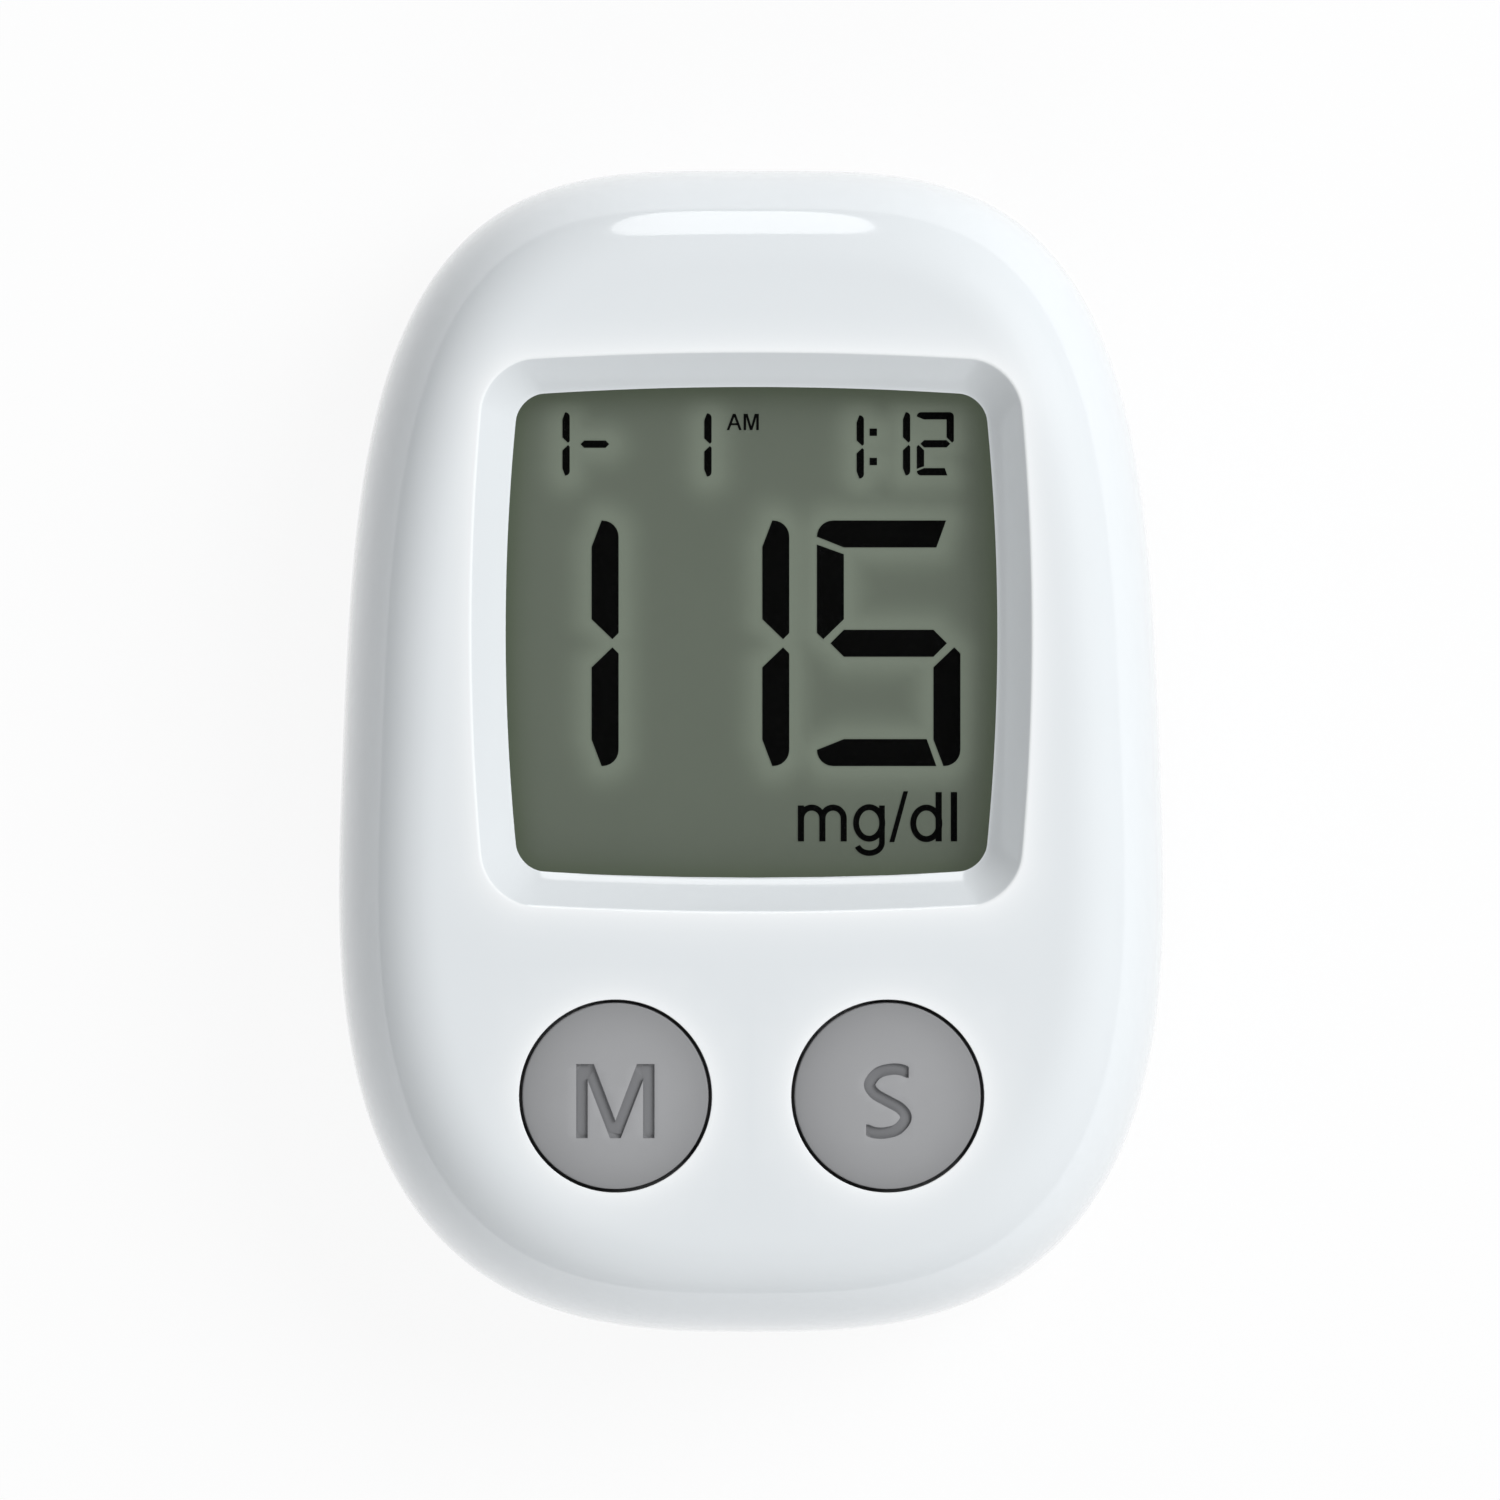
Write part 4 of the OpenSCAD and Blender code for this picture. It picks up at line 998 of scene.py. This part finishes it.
# The big reading, the small row above it and the unit below it, in millimetres
BIG = {"w": 10.1, "h": 17.28, "t": 1.9}
SMALL = {"w": 2.61, "h": 4.45, "t": 0.515}
READING = (("1", (-9.35, -1.06)), ("1", (2.66, -1.06)), ("5", (14.70, -1.06)))
ROW = (("1", (-12.79, 19.38)), ("1", (-2.81, 19.31)), ("1", (7.91, 19.17)), ("1", (11.17, 19.39)),
       ("2", (14.24, 19.39)))
DASH_X = (-12.03, -10.01)
DASH_Y = 21.59
COLON_X = (8.31, 8.83)
COLON_Y = (22.43, 20.37)
UNIT_CORNER = (3.26, -6.36)
UNIT_T = 0.44
CLOCK_CORNER = (-1.74, 22.58)


def unit_glyphs(low, high):
    """The letters of the unit, on a baseline from UNIT_CORNER."""
    corner = np.array(UNIT_CORNER)
    t = UNIT_T
    x_height = 2.53
    ascender = 3.47
    glyphs = []

    def stem(x, y0, y1, width=t):
        glyphs.append(plate(corner + [(x, y0), (x + width, y0), (x + width, y1), (x, y1)], low, high))

    def bend(points, width):
        glyphs.append(plate(corner + ribbon(points, width), low, high))

    def bowl(x, y, radii):
        glyphs.append(ring_plate(corner + [x, y], radii, 0.42, low, high))

    stem(0, 0, x_height)
    for x in (0.23, 1.73):
        arch = arc((x + 0.75, 1.62), (0.75, 0.76), 178, 0, 14)
        bend(np.vstack([arch, [(x + 1.5, 1.2), (x + 1.5, 0)]]), 0.43)
    bowl(5.02, 1.30, (0.92, 1.11))
    stem(5.72, 0, x_height, 0.40)
    bend(np.vstack([[(5.92, 0.3)], arc((5.03, -0.08), (0.89, 0.74), 0, -160, 18)]), 0.40)
    glyphs.append(plate(corner + [(6.44, -0.05), (6.79, -0.05), (7.76, 3.53), (7.43, 3.53)], low, high))
    bowl(9.04, 1.27, (0.92, 1.11))
    stem(9.69, 0, ascender)
    stem(10.76, 0, ascender, 0.45)
    return glyphs


def clock_glyphs(low, high):
    """The small AM beside the hour."""
    corner = np.array(CLOCK_CORNER)
    w, h, t = 1.05, 1.14, 0.18
    leg = [(0, 0), (t, 0), (w / 2 + t * 0.45, h), (w / 2 - t * 0.55, h)]
    mirrored = [(w - x, y) for x, y in reversed(leg)]
    bar = [(0.2 * w, 0.3 * h), (0.8 * w, 0.3 * h), (0.75 * w, 0.3 * h + t * 0.8), (0.25 * w, 0.3 * h + t * 0.8)]
    shapes = [corner + shape for shape in (leg, mirrored, bar)]
    shapes.append(corner + [w + 0.14 + 0.53, h / 2] + capital_m(1.07, h, t))
    return [plate(shape, low, high) for shape in shapes]


def display_segments():
    low, high = SEGMENT_LOW[2], SEGMENT_HIGH[2] - GLASS_GAP
    shapes = []
    for sign, corner in READING:
        shapes += digit(sign, corner, **BIG)
    for sign, corner in ROW:
        shapes += digit(sign, corner, **SMALL)
    half = SMALL["t"] / 2
    (x0, x1), y = DASH_X, DASH_Y
    shapes.append(np.array([(x0, y), (x0 + half, y - half), (x1 - half, y - half), (x1, y), (x1 - half, y + half),
                            (x0 + half, y + half)]))
    for y in COLON_Y:
        x0, x1 = COLON_X
        shapes.append(np.array([(x0, y - half), (x1, y - half), (x1, y + half), (x0, y + half)]))
    bars = [part for shape in shapes for part in plate(shape, low, high)]
    lettering = fused([*unit_glyphs(low, high), *clock_glyphs(low, high)])
    segments = combine(solid("bars", *bars), "UNION", lettering)
    finish_piece(segments, "segments", "display_segments", SEGMENT)
    return np.vstack([dense(shape, 0.4) for shape in shapes])


def display_back(marks):
    """The rear glass, cut into small squares that store how near they are to a mark and to the window's edge, for
    the painted halo and the painted shade on the display ground.
    """
    glass = copy_of("display_rear_glass")
    bm = bmesh.new()
    bm.from_mesh(glass.data)
    for normal, middle in ((Vector((1, 0, 0)), 0.0), (Vector((0, 1, 0)), WINDOW_Y)):
        for step in np.arange(-17.7, 17.8, 0.6):
            place = normal * ((middle + step) * MM)
            bmesh.ops.bisect_plane(bm, geom=[*bm.verts, *bm.edges, *bm.faces], plane_co=place, plane_no=normal)
    bm.to_mesh(glass.data)
    bm.free()
    xy = points_of(glass)[:, :2]
    gap = np.sqrt(((xy[:, None] - marks[None]) ** 2).sum(2).min(1))
    depth = np.maximum(-window_share(xy) * BEZEL_RUN, 0)
    # painted light near the segments and painted shade along the window's edge
    mark(glass, "painted_halo_near_segments", np.exp(-(gap / PAINTED_HALO_REACH) ** 2))
    mark(glass, "painted_shade_near_edge", np.exp(-(depth / PAINTED_SHADE_REACH) ** 1.5))
    finish_piece(glass, "display_back", "display_rear_glass", GROUND)


# ------------------------------ buttons

def key_button(name, node, center, letter):
    """A button with a crowned top, a rounded rim and its letter sunk into it."""
    center = np.array(center)

    def crown(xy, depth=0.0):
        r2 = ((xy - center) ** 2).sum(1)
        return np.column_stack([xy, KEY_EDGE_Z + KEY_CROWN * (1 - r2 / KEY_R ** 2) - depth])

    sign = {"M": capital_m, "S": capital_s}[letter](*LETTER_SIZE[letter], LETTER_T)
    sign = dense(sign, 0.25) + center - [0, LETTER_DROP]
    mouth = offset(sign, LETTER_LIP)
    walls = [crown(mouth), crown(offset(sign, LETTER_LIP * 0.3), LETTER_LIP * 0.3), crown(sign, LETTER_LIP),
             crown(sign, LETTER_DEPTH)]
    rim = [crown(circle(center, KEY_R - out, KEY_AROUND), down) for out, down in rounding(KEY_RIM, 6)]
    edge = rim[0][:, :2]
    grid = grid_points(KEY_R, KEY_R, 0.6) + center
    on_top = inside(offset(edge, -0.2), grid) & ~inside(offset(sign, 0.2), grid)
    low_ring = level(circle(center, KEY_R, KEY_AROUND), KEY_SKIN_Z)
    skin = solid(
        name,
        patch([edge, mouth], crown, grid[on_top]),
        patch([sign], lambda xy: crown(xy, LETTER_DEPTH)),
        loft(walls), loft([*rim, low_ring]), cap(low_ring))
    keep = prism(circle(center, KEY_R + 3, KEY_AROUND), 0, KEY_TRIM_Z)
    combine(skin, "UNION", combine(copy_of(node), "INTERSECT", keep))
    smooth(skin, 28)
    finish_piece(skin, name, node, KEY)
    # the sunk letter's floor and walls take the darker colour
    skin.data.materials.append(BY_SLOT["button_inlay"])
    middles = np.array([polygon.center for polygon in skin.data.polygons]) / MM
    sunk = inside(mouth, middles[:, :2]) & (middles[:, 2] > KEY_TRIM_Z + 0.1)
    skin.data.polygons.foreach_set("material_index", sunk.astype(int))
    # painted shade: the nearer a point lies to the rim, the darker
    mark(skin, "painted_rim_shade", (np.hypot(*(points_of(skin)[:, :2] - center).T) / KEY_R) ** 3)


def softened(name, node, width, material):
    """A CAD node's own shape with its edges eased."""
    obj = copy_of(node)
    ease = obj.modifiers.new("ease", "BEVEL")
    ease.width = width * MM
    ease.segments = 2
    ease.limit_method = "ANGLE"
    ease.angle_limit = math.radians(40)
    apply_modifiers(obj)
    smooth(obj)
    return finish_piece(obj, name, node, material)


def door_panel():
    """The battery door with a rounded outer edge and rounded corners."""
    clear = 0.002
    loop = door_outline(clear, clear, DOOR_HIGH[1] + 1, 0.4)
    rings = [level(offset(loop, -out), DOOR_LOW[2] - clear + down) for out, down in rounding(DOOR_EDGE, 5)]
    rings.append(level(loop, DOOR_HIGH[2] + 1))
    panel = combine(copy_of("battery_door"), "INTERSECT", solid("door_cutter", *closed(rings)))
    smooth(panel)
    finish_piece(panel, "door_panel", "battery_door", CASE)


display_back(display_segments())
key_button("memory_key_cap", "memory_button", (-KEY_X, KEY_Y), "M")
key_button("set_key_cap", "set_button", (KEY_X, KEY_Y), "S")
front_glass = combine(copy_of("display_front_glass"), "UNION", copy_of("front_polariser"))
smooth(front_glass)
finish_piece(front_glass, "display_front", "display_front_glass", GLASS)
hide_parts("front_polariser")
door_panel()
softened("port_frame", "port_insert", 0.15, BY_SLOT["port_grey"])
softened("screw_set", "case_screws", 0.08, BY_SLOT["screw_steel"])


# ------------------------------ floor and light

def area_light(name, azimuth, elevation, distance, width, height, power, mirrored=True):
    """An oval softbox at a polar place around the object, turned towards it."""
    data = bpy.data.lights.new(name, "AREA")
    data.shape = "ELLIPSE"
    data.size = width
    data.size_y = height
    data.energy = power
    lamp = add_object(name, data)
    a, e = math.radians(azimuth), math.radians(elevation)
    target = Vector((0, 0, SEAM_Z * MM))
    way = Vector((math.cos(e) * math.cos(a), math.cos(e) * math.sin(a), math.sin(e)))
    lamp.location = target + way * distance
    lamp.rotation_euler = way.to_track_quat("Z", "Y").to_euler()
    lamp.visible_glossy = mirrored


def world():
    made = bpy.data.worlds.new("studio")
    made.use_nodes = True
    background = made.node_tree.nodes["Background"].inputs
    background["Color"].default_value = (1, 1, 1, 1)
    background["Strength"].default_value = 0.24
    bpy.context.scene.world = made


FLOOR_GLOW = 0.9           # share of plain white in what the camera sees of the floor


def floor():
    """A pale floor that the camera sees near white, with the object's shadow kept."""
    half = 3.0
    mesh = bpy.data.meshes.new("floor")
    mesh.from_pydata([(-half, -half, 0), (half, -half, 0), (half, half, 0), (-half, half, 0)], [], [(0, 1, 2, 3)])
    obj = add_object("floor", mesh)
    material, nodes, links, shader = new_material("floor_white")
    shader.inputs["Base Color"].default_value = (0.86, 0.87, 0.88, 1)
    shader.inputs["Roughness"].default_value = 0.8
    glow = nodes.new("ShaderNodeEmission")
    glow.inputs["Strength"].default_value = 1.0
    path = nodes.new("ShaderNodeLightPath")
    direct = larger(nodes, links, path.outputs["Is Camera Ray"], path.outputs["Is Glossy Ray"])
    direct = larger(nodes, links, direct, path.outputs["Is Transmission Ray"])
    mix = nodes.new("ShaderNodeMixShader")
    links.new(spread(nodes, links, direct, 0.0, FLOOR_GLOW, 0.0, 1.0), mix.inputs["Fac"])
    links.new(shader.outputs["BSDF"], mix.inputs[1])
    links.new(glow.outputs["Emission"], mix.inputs[2])
    links.new(mix.outputs["Shader"], nodes["Material Output"].inputs["Surface"])
    obj.data.materials.append(material)


world()
floor()
area_light("key", 30, 45, 1.0, 0.7, 0.7, 7.8, mirrored=False)
area_light("fill", 270, 38, 0.9, 0.7, 0.7, 3.1, mirrored=False)
area_light("end_box", 91.4, 24, 0.5, 0.155, 0.35, 0.38)

bpy.context.scene.view_settings.view_transform = "Standard"
